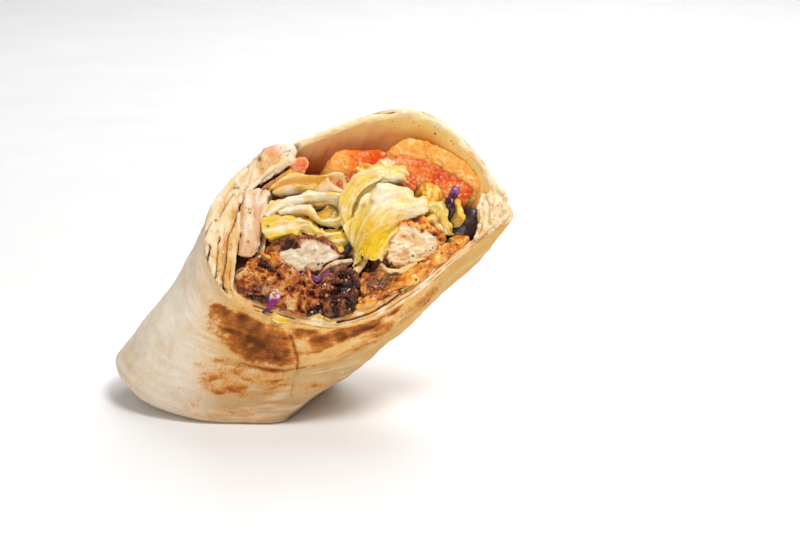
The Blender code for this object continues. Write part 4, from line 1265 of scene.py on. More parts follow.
TENDERS = {
    "chicken_white_left": (
        [(-30, -15), (-28.8, -11), (-25.6, -8.4), (-19, -6.9), (-12.2, -7.4), (-6.8, -11.4),
         (-5.2, -14.2), (-9.8, -16.9), (-16, -18.9), (-22.4, -18.7), (-28, -17.6)],
        (-17.5, -13.2), -1.3, 1.6, (0, 0), MEAT, DARK_CRUST,
        [(-180, 4.4), (-150, 3), (-120, 1), (-90, 0.2), (-45, 0.3), (-10, 1.6), (20, 2.4), (60, 1.3),
         (100, 2), (130, 4.4), (160, 6.2), (180, 4.4)]),
    "chicken_white_right": (
        [(8.4, -13.6), (8.6, -8.6), (11.2, -4.2), (14.2, -1.4), (19.2, -0.2), (22.8, -3.2),
         (27.2, -7.4), (25.8, -12), (20.8, -15.4), (15, -17.1), (9.8, -16.4)],
        (17, -9), -1.5, 1.8, (0, 0), PINK_MEAT, ORANGE_CRUST,
        [(-180, 0.2), (-90, 0.2), (-30, 0.8), (10, 2.2), (40, 3.4), (70, 4), (100, 3), (130, 0.8),
         (180, 0.2)]),
    "chicken_crisp_left": (
        [(-38.8, -22.4), (-38.4, -18.6), (-36.2, -15), (-31.5, -13.6), (-27.2, -16.2), (-22.2, -19.6),
         (-21.8, -24.6), (-24, -28.4), (-31.4, -28.6), (-36.4, -26)],
        (-31, -22), -2.6, 3.2, (0, 0.05), None, GOLD_CRUST, None),
    "chicken_crisp_middle": (
        [(-22.4, -24), (-20.7, -20.2), (-15.4, -20), (-12.2, -23.1), (-11, -27.9),
         (-14.3, -33.4), (-19.9, -33.7), (-22.9, -28.9)],
        (-16.8, -26.5), -2.8, 2.8, (0, 0), None, GOLD_CRUST, None),
    "chicken_dark": (
        [(-12.9, -22.7), (-10.6, -19.6), (-4.8, -17.4), (-0.6, -19.6), (0, -26.3),
         (-1.7, -32.2), (-5.8, -34.6), (-10.4, -33.4), (-11.8, -28.3)],
        (-6.5, -26), -3.4, 3, (0, 0), None, DARK_CRUST, None),
    "chicken_crisp_right": (
        [(0, -22), (3.6, -18.1), (12.8, -18.2), (20, -15.2), (27.4, -9.4), (31.8, -9),
         (31.4, -12.8), (25.4, -16.9), (17.8, -22.9), (10.2, -27.9), (1.9, -31.6), (-0.2, -27.9)],
        (16, -19.6), -1, 2.2, (0, -0.06), None, ORANGE_CRUST, None),
}
print(len(TENDERS), "pieces of chicken")


# %% Crags of fried crumb
def crags(at, salt):
    """Relief of fried crumb in millimetres, and where it peaks, 0 to 1."""
    bent = at + 0.9 * noise(at, 2.4, 2, salt)[:, None] * (1, -1, 0.6)
    big, big_gap, _ = cells(bent, 3.8, salt + 1)
    ridge = 1 - 2.6 * np.abs(noise(bent * (0.8, 1, 1.2), 3, 2, salt + 5))
    shreds = 1 - 2.6 * np.abs(noise(bent * (1.3, 1, 0.7), 1.3, 2, salt + 7))
    rise = 1.3 * (0.55 - big) + 0.5 * np.minimum(big_gap - big, 0.4) + 0.55 * ridge + 0.34 * shreds
    rise = rise + 0.25 * noise(at, 0.8, 2, salt + 9) + 0.7 * noise(at, 6.5, 2, salt + 11)
    return rise - 0.3, eased(rise, -0.7, 1.5)


# %% Make the tenders
for number, (name, (outline, centre, front, edge, slope, meat, crust, rind)) in enumerate(TENDERS.items()):
    tender, at, inwards, down, side, flat = thick_piece(
        name + "_tender", meat_finish if meat else crust_finish, outline, centre, front, edge,
        slope=slope, sides=170, cap=54, free=name == "chicken_crisp_left")
    rise, peak = crags(at, 80 + 12 * number)
    # Painted light and shade: gold on the crags' peaks and near black in their hollows, with its own
    # browning.
    tone = np.clip(0.04 + 0.72 * peak + 0.34 * noise(at, 3.6, 3, 81 + number), 0, 1)
    tint = along_colours(crust, tone)
    if name == "chicken_crisp_left":
        tint = with_patches(tint, flat, [(262, 277, 3, along_colours(ORANGE_CRUST, tone), 0.7),
                                    (264, 292, 3.4, along_colours(DARK_CRUST, tone), 0.8)])
        tint = mixed(tint, 0.4 * tint, 0.6 * round_patch(flat, 262, 290, 2.2))
    if name == "chicken_crisp_right":
        sauced = noise(at, 5, 3, 93) + 0.5 * eased(flat[:, 0], 8, 26)
        tint = mixed(along_colours(GOLD_CRUST, tone), tint, eased(sauced, -0.3, 0.5))
        tint = with_patches(tint, flat, [(386, 275, 2.6, shade(216, 150, 84), 0.5),
                                    (401, 280, 3, shade(252, 176, 56), 0.6)])
    if meat:
        golden = bell(side, -178, 38) + bell(side, 182, 14)
        tint = mixed(tint, along_colours(ORANGE_CRUST, tone), np.clip(golden, 0, 1) * (number == 0))
        tint = mixed(tint, 0.22 * tint, 0.8 * round_patch(flat, 287, 247, 3.6))
        skin_depth = np.interp(side, *zip(*rind)) * (1 + 0.35 * noise(at, 2.4, 2, 90 + number))
        skin_depth = skin_depth + 0.35 * noise(at, 0.9, 2, 92 + number)
        bare = eased(inwards - skin_depth, -0.2, 0.3)
        s, t = flat.T
        shreds = creases(s + 0.3 * t, t - 0.22 * s, 1.5, 95 + number, 3.4)
        flakes = 0.42 * shreds + 0.65 * noise(at, 2.4, 3, 97 + number)
        # Painted shade: the flesh is darker between its raised fibres, besides the meat's own streaks.
        flesh = along_colours(meat, np.clip(0.52 + 0.62 * flakes, 0, 1))
        flesh = mixed(flesh, shade(214, 148, 72), 0.6 * eased(skin_depth + 1.4 - inwards, 0, 1.4))
        tint = mixed(tint, flesh, bare)
        rise = rise * 0.8 * (1 - bare) + (0.62 + 0.3 * (number == 1)) * flakes * bare
    paint(tender, "tint", deep_shade(tint, 0.25, down, 3, 10))
    push_out(tender, rise * eased(down, 16, 6) * (0.4 + 0.6 * within_outline(flat, POCKET, 2.4)))
    if name != "chicken_crisp_left":
        tucked_in(tender)
    slot = {"chicken_dark": "dark_crust"}.get(name, "chicken_meat" if meat else "crispy_crust")
    serve(tender, slot, name)

# %% [markdown]
# ## Tomato
# Cut tomato is wet and lets light deep in: the flesh glows orange where it is thin and red where it
# is thick, with paler fibres and a granular cut face. The dice and slices are thick pieces with
# fine grains, pale streaks and a strong red scatter below a wet coat. The grains move the mesh
# itself, because bumps in the finish alone would leave the outline smooth.

# %% Finish and pieces of tomato
tomato_finish = food_finish(
    "wet_tomato", [(0.5, 0.24), (1.3, 0.24)],
    [(1.2, 0.34, "cells"), (0.45, 0.18), (0.2, 0.05)], (0.08, 0.26),
    glow=(0.3, 1.8, (1, 0.45, 0.15)), coat=0.28, specular=0.15)
# The colour of painted glints on the wet flesh.
PAINTED_GLINT = shade(255, 226, 190)
TOMATOES = {
    "tomato_slice_lower": (
        [(10.4, 18.7), (12.8, 21.3), (20.8, 19.7), (28.8, 15.8), (36.9, 10.4), (35.4, 6.6),
         (30.4, 5.8), (22.4, 10.1), (15.8, 13.3), (11.2, 16.1)],
        (24, 13.5), 0.6, 1.8, (0, 0), shades((226, 74, 18), (246, 122, 42), (255, 190, 116)), 1),
    "tomato_slice_upper": (
        [(10, 21.2), (11.3, 25.5), (16, 27.6), (22.4, 26.9), (30.4, 23.4), (37.2, 18),
         (40.6, 12.5), (38, 10.4), (30.4, 15), (22.4, 19.4), (14.4, 21)],
        (26, 20.5), 1.7, 1.8, (0, 0), shades((252, 146, 44), (255, 184, 84), (255, 224, 160)), 0.12),
    "tomato_dice": (
        [(-8.6, 19), (-6.2, 22.5), (0, 23.5), (9.2, 22.9), (10, 18.7), (6.6, 15.3),
         (-2.6, 14.6), (-7.6, 15.9)],
        (1, 19.2), 0.6, 2.2, (0, 0.1), shades((236, 84, 0), (255, 124, 8), (255, 180, 84)), 0.2),
    "tomato_wedge": (
        [(-5.4, 13.6), (-2.4, 14.7), (1.3, 14.9), (-1.3, 11.5), (-4.9, 8.1), (-6.9, 10.8)],
        (-4, 12.4), 0.4, 1.2, (0, 0), shades((206, 72, 30), (232, 120, 66), (250, 186, 136)), 0.5),
    "tomato_bit_left": (
        [(14.3, 11), (15, 13.7), (17.8, 13.9), (18.5, 10.6), (17.4, 8.1), (15.2, 8.6)],
        (16.4, 11), 0, 1.2, (0, 0), shades((214, 62, 18), (240, 110, 46), (253, 176, 116)), 0.6),
    "tomato_small": (
        [(-21.4, 17.6), (-20.4, 18.8), (-17.6, 18.9), (-16.6, 16.9), (-17.4, 14.6), (-19.4, 13.9),
         (-20.8, 15.4)],
        (-18.8, 16.6), -0.6, 1.4, (0, 0), shades((232, 96, 44), (248, 140, 84), (254, 190, 140)), 0.3),
}
for number, (name, (outline, centre, front, edge, slope, palette, grainy)) in enumerate(TOMATOES.items()):
    small = number > 2
    tomato, at, inwards, down, _, flat = thick_piece(
        name + "_flesh", tomato_finish, outline, centre, front, edge, slope=slope,
        length=36, sides=90 if small else 160, cap=26 if small else 50)
    grains = pitted(at, 1.1, 140 + number)
    swell = noise(at, 5, 3, 150 + number)
    vein = 1 - eased(np.abs(noise(at * (1, 1, 0.5), 4, 2, 160 + number)), 0.02, 0.14)
    rise = grainy * 0.6 * grains + 0.6 * swell + 0.3 * vein
    push_out(tomato, rise * eased(down, 12, 4))
    tone = 0.38 + 0.4 * swell + 0.6 * grainy * grains + 0.42 * vein * noise(at, 3, 2, 170 + number)
    # Painted light: the flesh is painted paler near its rounded edge, where thin flesh glows.
    tone = tone + 0.22 * eased(inwards, 1.2, 0.2)
    if name == "tomato_dice":
        tone = tone + 0.5 * eased(flat[:, 0], -1.5, -5.5) - 0.2 * eased(flat[:, 0], 0, 5)
    tint = along_colours(palette, np.clip(tone, 0, 1))
    # Painted highlights: small pale glints where the wet cut face catches the light.
    glints = eased(noise(at, 1.3, 3, 165 + number), 0.42, 0.75)
    tint = mixed(tint, PAINTED_GLINT, 0.5 * glints)
    paint(tomato, "tint", deep_shade(tint, 0.4, down, 3, 12))
    serve(tomato, "tomato", name)

# %% [markdown]
# ## Lettuce
# These are the pale inner leaves of a lettuce heart. Their cut edges and ribs are cream, the leaf
# between them is yellow and lets light through, and it is painted olive and amber where shade falls
# on it. A cut leaf shows a thin bright edge with a hollow behind it, so the rails step back into the
# roll there. Each patch of leaf has a row of colours that runs from its first rail to its last.

# %% Finish of the leaves
leaf_finish = food_finish(
    "lettuce_leaf", [(1.6, 0.14), (0.5, 0.1)],
    [(2, 0.26, "noise", (2.5, 1, 1)), (0.8, 0.16), (0.3, 0.04)], (0.16, 0.36),
    glow=(0.22, 1, (1, 0.65, 0.25)), coat=0.2, specular=0.22)
CREAM, WHITE_RIB, STRAW = shade(255, 230, 160), shade(255, 246, 226), shade(254, 204, 84)
# The olive and the amber are painted shade, for leaf that turns down into the roll and lies under folds.
YELLOW, LIME, OLIVE_SHADE = shade(254, 200, 4), shade(242, 202, 6), shade(186, 126, 8)
AMBER_SHADE, GLOW, BROWN_SHADE = shade(232, 150, 60), shade(255, 200, 96), shade(140, 66, 12)
VEIN_SLANT, FINE_SLANT = -0.6, -0.35


def slanted_creases(u, v, slant, size, salt, length=5):
    """Creases that run at a slant to the two directions of a sheet."""
    return creases(u - slant * v, v + slant * u, size, salt, length)


def leaf_part(rails, palette, salt, thickness=0.45, ruffle=0.45, fold=0.32, fold_size=2.6, slant=0.15,
              along=130, across=70):
    """One crumpled patch of leaf with its colours; slant turns its folds away from its rails."""

    def lift(points, u, v, length, width):
        edge = eased(np.minimum(v, width - v), 2.4, 0)
        folds = slanted_creases(u, v, slant, fold_size, salt)
        crumple = noise(points, 5.5, 3, salt + 3)
        frill_at = columns(u, 0.3 * v, 0)
        fringe = noise(frill_at, 2.6, 2, salt + 6) + 0.6 * noise(frill_at, 1.1, 2, salt + 7) * edge
        veins = slanted_creases(u, v, VEIN_SLANT, 1.5, salt + 9, 4)
        return ruffle * (crumple + fringe * (0.3 + 1.3 * edge)) + fold * folds + 0.09 * veins

    points, faces, values = sheet_form(rails, along, across, thickness, lift)
    u, v, _, to_edge, share, *_ = values.T
    folds = slanted_creases(u, v, slant, fold_size, salt)
    veins = slanted_creases(u, v, VEIN_SLANT, 1.3, salt + 9, 4)
    fine = slanted_creases(u, v, FINE_SLANT, 0.8, salt + 14)
    patchy = noise(points, 4, 2, salt + 12)
    lines = 0.5 * eased(folds, 0.45, 1) + 0.22 * eased(veins, 0.4, 1) + 0.26 * eased(fine, 0.5, 1)
    # Painted light and shade: fold crests are white and fold hollows lime, besides the real ribs and
    # veins.
    return points, faces, laid_over(
        along_colours(palette, np.clip(share + 0.1 * patchy, 0, 1)),
        (WHITE_RIB, lines),
        (LIME, 0.66 * eased(folds, 0.25, -0.7)),
        (GLOW, 0.5 * eased(patchy, 0.1, 0.7)),
        (CREAM, 0.7 * eased(to_edge, 0.7, 0.1)),
        (BROWN_SHADE, 0.8 * eased(over_cut(points), -2.5, -8)))


# %% Rails of the folds at the left
# Each point is x and y in the photo, then its height over the cut in millimetres.
FOLD_TOP = rails_of("""
267 190 -2.5, 272 183.5 -3, 281 176.5, 293 173, 305 173.8, 317 174.3, 328 173.2 -2.6, 336 171.4 -2,
343.4 173.6 -1.6, 346.8 180 -1.2, 346.4 190 -1;
267.4 190.6 0, 272.6 184.4, 281.6 177.4 0.2, 293 174 0.4, 305 174.8, 317 175.3, 328 174.2, 336 172.6,
342.6 174.6, 345.8 180.4 0.3, 345.4 189.6 0.2;
268.6 191.4 0.1, 273.6 186.2, 282.4 179.6 0.2, 293.4 176.2 0.3, 305 177, 317 177.5, 328 176.4,
336 174.8, 341 176.6, 343.6 181 0.2, 343.6 188.6 0.1;
270 191.4 -0.8, 275 187.4 -1, 283.4 181.6 -1.2, 294 178.6, 305 179.4, 317 179.8, 327 178.4, 335 177.6,
339.6 179 -1, 342 182, 342.6 187.4;
271.6 191.2 -1, 277 188 -1.4, 286 184.6 -1.8, 296 183 -1.9, 306 183.6, 315 184.6, 321 181 -1.6,
327 178.8 -1.3, 331 182 -1.4, 336 184, 341.4 187 -1.2;
272 191.8 0.6, 278 189.2 0.8, 286 186.6 0.9, 296 185.2 1, 306 185.8, 316 187 1.2, 321 183.4 1.6,
327.6 179.8 1.8, 330 184 1.4, 335 187 1.2, 343 190 0.8;
273 193 0.8, 280 192 1.2, 290 189.4 1.4, 298 188.2 1.5, 308 189.2, 316 190.4 1.6, 323 189.6 1.8,
329 189 1.7, 334 190.6 1.5, 338 192 1.3, 343.5 193.6 0.9;
274 195.4 -3, 282 195 -4, 292 193.4 -5, 300 192.8, 309 193.8, 317 194.2, 323 194.2, 329 194.2,
334 194.8, 338 195.8 -4, 343 197 -3
""")
FOLD_MIDDLE = rails_of("""
263.2 215.4 -0.6, 268.5 208 -0.4, 278 200.8 -0.2, 290 195.8 0, 303 193.4, 314 192.2, 325 191.8, 335 193,
343 195 -0.2;
265 216.4 1.2, 271 209.4 1.6, 280 203.2 1.9, 291 198.6 2, 302 196.2, 313 194.6 1.8, 324 194 1.6,
334 194.8 1.4, 343 196.4 1;
267.4 217 1.2, 273.6 212.4 1.5, 282.6 207.4 1.6, 293 203, 301 200.2, 308 198.2 1.5, 317 196.4 1.4,
329 196.8 1.2, 342 198 0.8;
269.6 217.6 -0.2, 276.6 213.6 0, 286 209.8, 296 206.2, 301 203.6 0.1, 308 200.6, 317 198.4, 329 198.8 0,
342 199.4 -0.2;
271 219 -3, 278 215 -3.4, 287 211.6 -4, 297 208.4 -4.6, 303 206.4 -5.4, 309 205 -6, 318 205, 329 206,
342 206
""")
HOLE_LEAF = rails_of("""
303 209.4 -4.6, 311 209.6 -4.2, 321 208.4 -3.8, 331 206.2 -3.4, 342 203.8 -3.2;
307 213 -3.2, 315 213.6 -2.8, 324 213 -2.4, 333 211.4 -2.2, 343 208 -2;
312 219 -2.6, 320 220.6 -2, 328 221.2 -1.6, 336 219 -1.4, 345 212.6
""")
RIBBON = rails_of("""
278 211.2 -0.8, 289 208.2 -0.6, 299 205.4 -0.4, 307 206.2, 313.4 210.2 -0.3, 317.4 215.2 -0.2,
322.9 218.8, 329.4 219.2, 336 217.2, 343 211.4 -0.4;
278.6 212.2 1, 289.6 209.6 1.2, 299.4 207 1.4, 307 208 1.5, 312.8 212.2 1.6, 316.8 217.2, 322.6 220.8,
329.6 221.2, 336.6 219.4 1.4, 344 214 1;
279.2 213.2 0.8, 290.4 211.4 1, 299.8 209.6 1.1, 306.4 211.2 1.2, 311.6 215.6, 316.4 220.4, 322.8 223.6,
330.6 223.8, 337.6 222 1, 344.4 217.4 0.6;
280 214.6 -3, 291 213.2 -4, 300 212.4, 305.4 214.2, 310.4 218.2, 315.6 222.6, 323 225.4, 331 225.8,
338.4 224.4, 345 220 -3
""")
LIME_LEAF = rails_of("""
276 214.4 -3, 289 213, 300 212 -3.4, 307 215.4, 312.6 220.4, 320 225.4, 331 227, 343 225.6 -3;
272 216 -0.6, 285 215.6 -0.8, 297 216.4 -1, 305 219 -1.2, 312 223.4 -1.4, 320 228.6 -1.6,
331 230.6 -1.8, 343 230.6;
270 218 0.2, 284 217.6 0, 297 219.4 -0.2, 305 221.6 -0.6, 311 226 -1, 319 231 -1.4, 331 233 -1.6,
343 233
""")
FOLD_LOW = rails_of("""
262.4 222 -1, 265.4 218 -0.8, 273 216.2 -0.6, 284 216.6 -0.4, 294 218.4, 303 220.2, 309.5 221.6,
317 227.2, 326.5 231, 340 231.8 -0.8, 353 231 -1.6;
261.8 224.6 1.2, 266.6 221 1.6, 274.6 219.2 1.8, 285 219.2 1.9, 294.4 220.4, 302.6 222 1.8,
308.6 223.8 1.6, 316 229.4 1.4, 325.6 233.4 1.2, 338 234.8 0.6, 353 234.4 -1;
261.8 229 1.2, 267.6 227 1.4, 275 226, 284 225, 292 224.6, 299 225 1.3, 305.6 226.6 1.2, 313 231.8 1,
321 236.6 0.8, 336 240 0.3, 353 239.6 -1.2;
263 233.4 1, 268.6 235.4 1.2, 276 234.2, 284 232.6 1.4, 291 231.4 1.6, 297 231 1.4, 302 228.4 1,
311 233.6 0.6, 318.6 239.6 0.4, 334 243.8 -0.2, 353 242.4 -1.6;
265.4 236 0.4, 270 239 0.8, 277.6 238 1, 285 236.4 1.2, 292.4 235 1.4, 298 237.4 1.2, 302 230.4 0.4,
310 234.8 0, 317 240.8 -0.2, 334 245.4 -0.8, 353 244.4 -2;
267 236.6 -4, 272 239 -5, 279 238.6 -6, 286 237, 293.6 235.6, 299 235.6, 303 232, 310 236, 317 242,
334 246.4, 353 245.4
""")
TAIL = rails_of("""
312 233 -2, 320 238 -1.6, 328 242.6 -1.4, 337 244.6, 347 244 -1.6, 356 243.4 -2;
312 237.4 -1.2, 319.6 243 -0.8, 328 247.4 -0.6, 337.6 249.4 -0.4, 346 249.6 -0.6, 354 249 -1.2;
315 240 -3, 321.6 246 -2, 329 251 -1.6, 337.6 254 -1.4, 346 254.6, 353 253 -2;
317 240 -6, 323 246, 330 250.6, 338 254, 346 254.6, 352 253.6
""")
print("rails of the three folds:", len(FOLD_TOP), len(FOLD_MIDDLE), len(FOLD_LOW))

# %% Rails of the crumpled heart and the frilled ends
HEART_BACK = rails_of("""
351 237 -1, 342.5 226 -0.5, 340 213 0, 339.5 205 0.5, 343.5 192 1, 350 179.5 1.5, 362 171.5,
371 169.2 1.2, 377 165 1, 388 166.4 0.5, 400 162.4 0, 409.5 171 -1;
352 233 0.5, 346.5 222 1.6, 345 212 2, 347.5 202.5 2.6, 353 192.5 3, 360 184 3.2, 370 177.5 3,
376 175 2.8, 383 173 2.6, 392 172.5 2, 401 171 1.2, 409 174.6 0;
356 229 -0.5, 352 219 0, 352.5 211 0.5, 358 203.5 1, 366 196 1.4, 374 190 1.6, 380 187 1.5,
386 184.6 1.4, 392 183 1, 399 181 0.6, 404 180 0.2, 408 179.5 -1;
361 226 -6, 360 217, 362 209, 368 203, 376 196, 384 192, 390 190, 396 188.4, 401 187, 408 186
""")
HEART_FRONT = rails_of("""
348 229 0.3, 353 213 1.8, 360.5 203.5 3, 370 194 3.8, 383 186 4, 398 187 3.4, 408 192 2.8,
416 196.6 2.2, 425 197 1.6, 434 203 0.6;
349 233 0.8, 357 218.5 3.4, 367 209 5, 380 201 5.4, 393 199.5 5, 407 202 4, 414 203.6 3, 421 204.6 2.2,
430 207 1;
351 238 0.8, 361 228.5 4, 372 220 6, 384 214 6.4, 396 211.5 5.4, 406 212 4, 414 212 2.4, 424 211.6 0.4;
353.5 244 0.8, 364 238 4.4, 374 232 6.4, 384 227, 393 223.5 5, 400 220.5 3, 406 218.5 1.4, 413 216 -0.4;
356 253 0.8, 365 248 4.2, 373 245 5.8, 381 241 5.4, 388 237.5 3.6, 394 234 1.6, 398 230.5 0,
402 226 -1.5;
355 267.5 -0.5, 358.6 261 1.2, 360.5 254 2.6, 364 260.6 3.2, 369 262 3.8, 374 263.6 4, 378 260.4 3.6,
381 263.4 3, 384 255 1.8, 389 248 0.7, 394 241 -1
""")
FRILL = rails_of("""
415 201 -1, 424 199.6 0, 432 199 0.6, 440 199.6 0.8, 446.6 204.6, 447.4 212 0.6, 443.6 216.6 0.4,
448 219.6 0.2, 452.4 226, 454.4 234 0;
413 207.4 0.5, 422 205.6 1.6, 430 205 2.2, 437 206 2.4, 441 210.6 2.2, 439 216 1.6, 440 220 1.2,
442.8 225 0.9, 446 229.4 0.5, 448.8 234.4 0;
415 213 0.2, 422.6 212 0.8, 428.6 211.6 1, 433 213.4 0.6, 434.4 216.6 -0.4, 433.4 220 -0.8, 434.4 223.4,
437 227.4, 440 231.4, 443 235;
418 217.6 -4, 424.6 216.6, 429.6 216.6, 432 219, 431 222, 431.4 225.4, 433.4 229, 436 232, 439 235,
441 237
""")
FRILL_INNER = rails_of("""
427 219 -0.4, 430 215 0.4, 435 214 0.6, 438 218, 439 223 0.5, 443 229 0.3, 446 231 0;
425 224 -0.8, 429 221 0, 433 221 0.4, 435 224, 437 228 0.2, 441 232 0;
426 228 -5, 430 226, 434 228, 437 232
""")
BIT_LEFT = rails_of("""
272.5 306 -0.5, 275 309.6 0.8, 277.4 313 1.2, 282 315.6 1.4, 287 317 0.8, 291 317 -0.2;
271.4 311 -0.8, 272.6 316.4 0.5, 275 320.6 1, 280 323, 286 322.6 0.4, 291 320.6 -0.6
""")
BIT_RIGHT = rails_of("""
299 312 -1.5, 306 308.4 -0.3, 313 309.5 0.2, 319 313, 326 317 0, 331 320 -1;
300 320 -1.2, 307 319 0, 314 320 0.4, 320 321 0.2, 326 321.8 -0.2, 331 322.5 -1
""")
print("rails of the heart leaf, back and front:", len(HEART_BACK), len(HEART_FRONT))

# %% Make the leaves
LEAVES = {
    "lettuce_fold_top": [
        (FOLD_TOP, [CREAM, CREAM, GLOW, GLOW, AMBER_SHADE, WHITE_RIB, CREAM, GLOW],
         dict(fold=0.15, across=110, slant=0))],
    "lettuce_fold_middle": [
        (FOLD_MIDDLE, [CREAM, WHITE_RIB, WHITE_RIB, STRAW, AMBER_SHADE],
         dict(thickness=0.55, fold=0.2, across=90, slant=0)),
        # The hole leaf's first colour is painted shade in the dark pocket.
        (HOLE_LEAF, [shade(146, 70, 10), OLIVE_SHADE, LIME], dict(fold=0.2)),
        (RIBBON, [CREAM, WHITE_RIB, CREAM, LIME], dict(fold=0.1, slant=0)),
        (LIME_LEAF, [OLIVE_SHADE, LIME, YELLOW], dict(fold=0.2))],
    "lettuce_fold_low": [
        (FOLD_LOW, [CREAM, STRAW, CREAM, YELLOW, STRAW, OLIVE_SHADE], dict(fold=0.36, across=100, slant=0.3))],
    "lettuce_tail": [(TAIL, [STRAW, shade(216, 186, 96), OLIVE_SHADE, OLIVE_SHADE], dict(fold=0.25))],
    "lettuce_heart": [
        (HEART_BACK, [STRAW, CREAM, GLOW, OLIVE_SHADE],
         dict(ruffle=0.55, fold=0.55, along=200, across=90, slant=0.08)),
        (HEART_FRONT, [CREAM, CREAM, CREAM, YELLOW, YELLOW, YELLOW],
         dict(ruffle=0.7, fold=0.55, fold_size=3.2, along=200, across=110, slant=0.45))],
    "lettuce_frill": [(FRILL, [STRAW, LIME, YELLOW, OLIVE_SHADE], dict(ruffle=0.85, fold=0.4))],
    "lettuce_frill_inner": [(FRILL_INNER, [STRAW, LIME, OLIVE_SHADE], dict(ruffle=0.5))],
    "lettuce_bit_left": [(BIT_LEFT, [YELLOW, LIME, YELLOW], dict(ruffle=0.5, along=70, across=34))],
    "lettuce_bit_right": [(BIT_RIGHT, [LIME, STRAW, YELLOW], dict(ruffle=0.6, along=70, across=34))],
}
# The leaves' own colour patches, and painted shadows: the dark and brown spots where leaves meet and fold.
LEAF_PATCHES_AND_SHADOWS = [
    (268.4, 227.4, 0.45, shade(30, 16, 6), 0.95), (270.6, 190.2, 0.7, shade(120, 60, 20), 0.9),
    (277, 214.4, 0.5, shade(70, 40, 10), 0.8), (338, 182, 2.4, shade(246, 200, 156), 0.7),
    (329, 193, 1.2, shade(246, 176, 70), 0.6), (281, 229, 1.4, WHITE_RIB, 0.8),
    (292, 234, 1.3, YELLOW, 0.9), (384, 203, 4.4, WHITE_RIB, 0.85), (388, 221, 3, GLOW, 0.8),
    (357, 226, 3.6, LIME, 0.6), (347, 203, 2.6, LIME, 0.55), (368, 250, 4, LIME, 0.5),
    (373, 236, 3, YELLOW, 0.7),
    (372, 206, 0.9, shade(190, 130, 40), 0.7), (364, 209, 0.9, shade(190, 130, 40), 0.7),
    (439, 222, 1.2, shade(150, 84, 30), 0.8),
]
for number, (name, patches) in enumerate(LEAVES.items()):
    parts = [leaf_part(rails, palette, 200 + 20 * number + 7 * order, **shape)
             for order, (rails, palette, shape) in enumerate(patches)]
    points, faces, tint = joined(parts)
    leaf = new_piece(name + "_leaf", points, faces, leaf_finish)
    paint(leaf, "tint", with_patches(tint, flat_on_cut(points), LEAF_PATCHES_AND_SHADOWS))
    serve(leaf, "lettuce", name)

# %% [markdown]
# ## Cabbage, onion and cheese
# Red cabbage shreds are purple at the skin and white inside, and stand on edge in the cut. Onion
# slivers are pale and glassy. Cheese is grated, and partly melted over the crust. A shred is an
# upright strip along a line over the cut, because a bevelled curve would come out round. A melted
# lump is a thick piece.

# %% Finishes
cabbage_finish = food_finish(
    "red_cabbage", [(0.8, 0.2)], [(1.5, 0.12), (0.4, 0.05)], (0.18, 0.35),
    glow=(0.15, 0.8, (1, 0.3, 0.7)), coat=0.4)
onion_finish = food_finish(
    "onion_sliver", [(1.4, 0.12)], [(1.8, 0.14, "noise", (3, 1, 1)), (0.5, 0.04)], (0.2, 0.4),
    glow=(0.3, 1, (1, 0.8, 0.45)), coat=0.35)
cheese_finish = food_finish(
    "melted_cheese", [(1.1, 0.14), (0.4, 0.08)], [(1.6, 0.2), (0.5, 0.08)], (0.18, 0.38),
    glow=(0.25, 1, (1, 0.65, 0.2)), coat=0.4)

# %% Shreds and slivers
PURPLE, PLUM, PITH = shade(112, 22, 100), shade(44, 12, 34), shade(240, 222, 226)
SHREDS = {
    "cabbage_middle": ([(-18.8, -18.9), (-17, -20.6), (-14, -21.2), (-11.4, -20.4), (-9.4, -18.7)],
                       2.4, 2.2, "purple_cabbage", [PLUM, PURPLE, shade(126, 62, 110)]),
    "cabbage_left": ([(-25.6, -23.6), (-26.2, -26), (-27.4, -28.4), (-28.6, -30.4)], 2.8, 3.2,
                     "purple_cabbage", [PITH, PITH, shade(150, 22, 122), shade(130, 20, 110)]),
    "cabbage_right": ([(31, 9.4), (29.8, 6.6), (29, 3.8), (29.4, 0.6)], 3, 1.2,
                      "purple_cabbage", [*shades((176, 104, 168), (104, 20, 84), (46, 14, 30)), PLUM]),
    "cabbage_dark": ([(-2.2, -8.6), (-3.6, -11), (-5, -13.6)], 2, 0.8,
                     "purple_cabbage", [PLUM, shade(30, 18, 34), PLUM]),
    "onion_left": ([(-11.2, -17.9), (-8.4, -16.4), (-5.2, -15.6), (-2.4, -15)], 1.8, 1.4,
                   "onion", shades((216, 150, 84), (246, 226, 190), (226, 170, 104))),
    "onion_right": ([(6.4, -16.4), (8.6, -18.2), (12, -18.8), (15, -17.8), (18.2, -15.9)], 1.9, 1.5,
                    "onion", shades((226, 160, 78), (248, 218, 158), (236, 186, 110))),
    "cheese_shred": ([(30.9, 4.6), (31.6, 2.4), (32.6, 0.2), (33.6, -1.6)], 2.3, 1.6,
                     "melted_cheese", shades((244, 180, 66), (248, 206, 104), (248, 196, 50))),
    "cheese_strip": ([(-2, 15), (1.4, 15.8), (4.6, 16.1)], 2.6, 0.4,
                     "melted_cheese", shades((246, 160, 34), (250, 178, 40), (244, 142, 28))),
}
SHRED_FINISHES = {"purple_cabbage": cabbage_finish, "onion": onion_finish, "melted_cheese": cheese_finish}
print(len(SHREDS), "shreds and slivers")


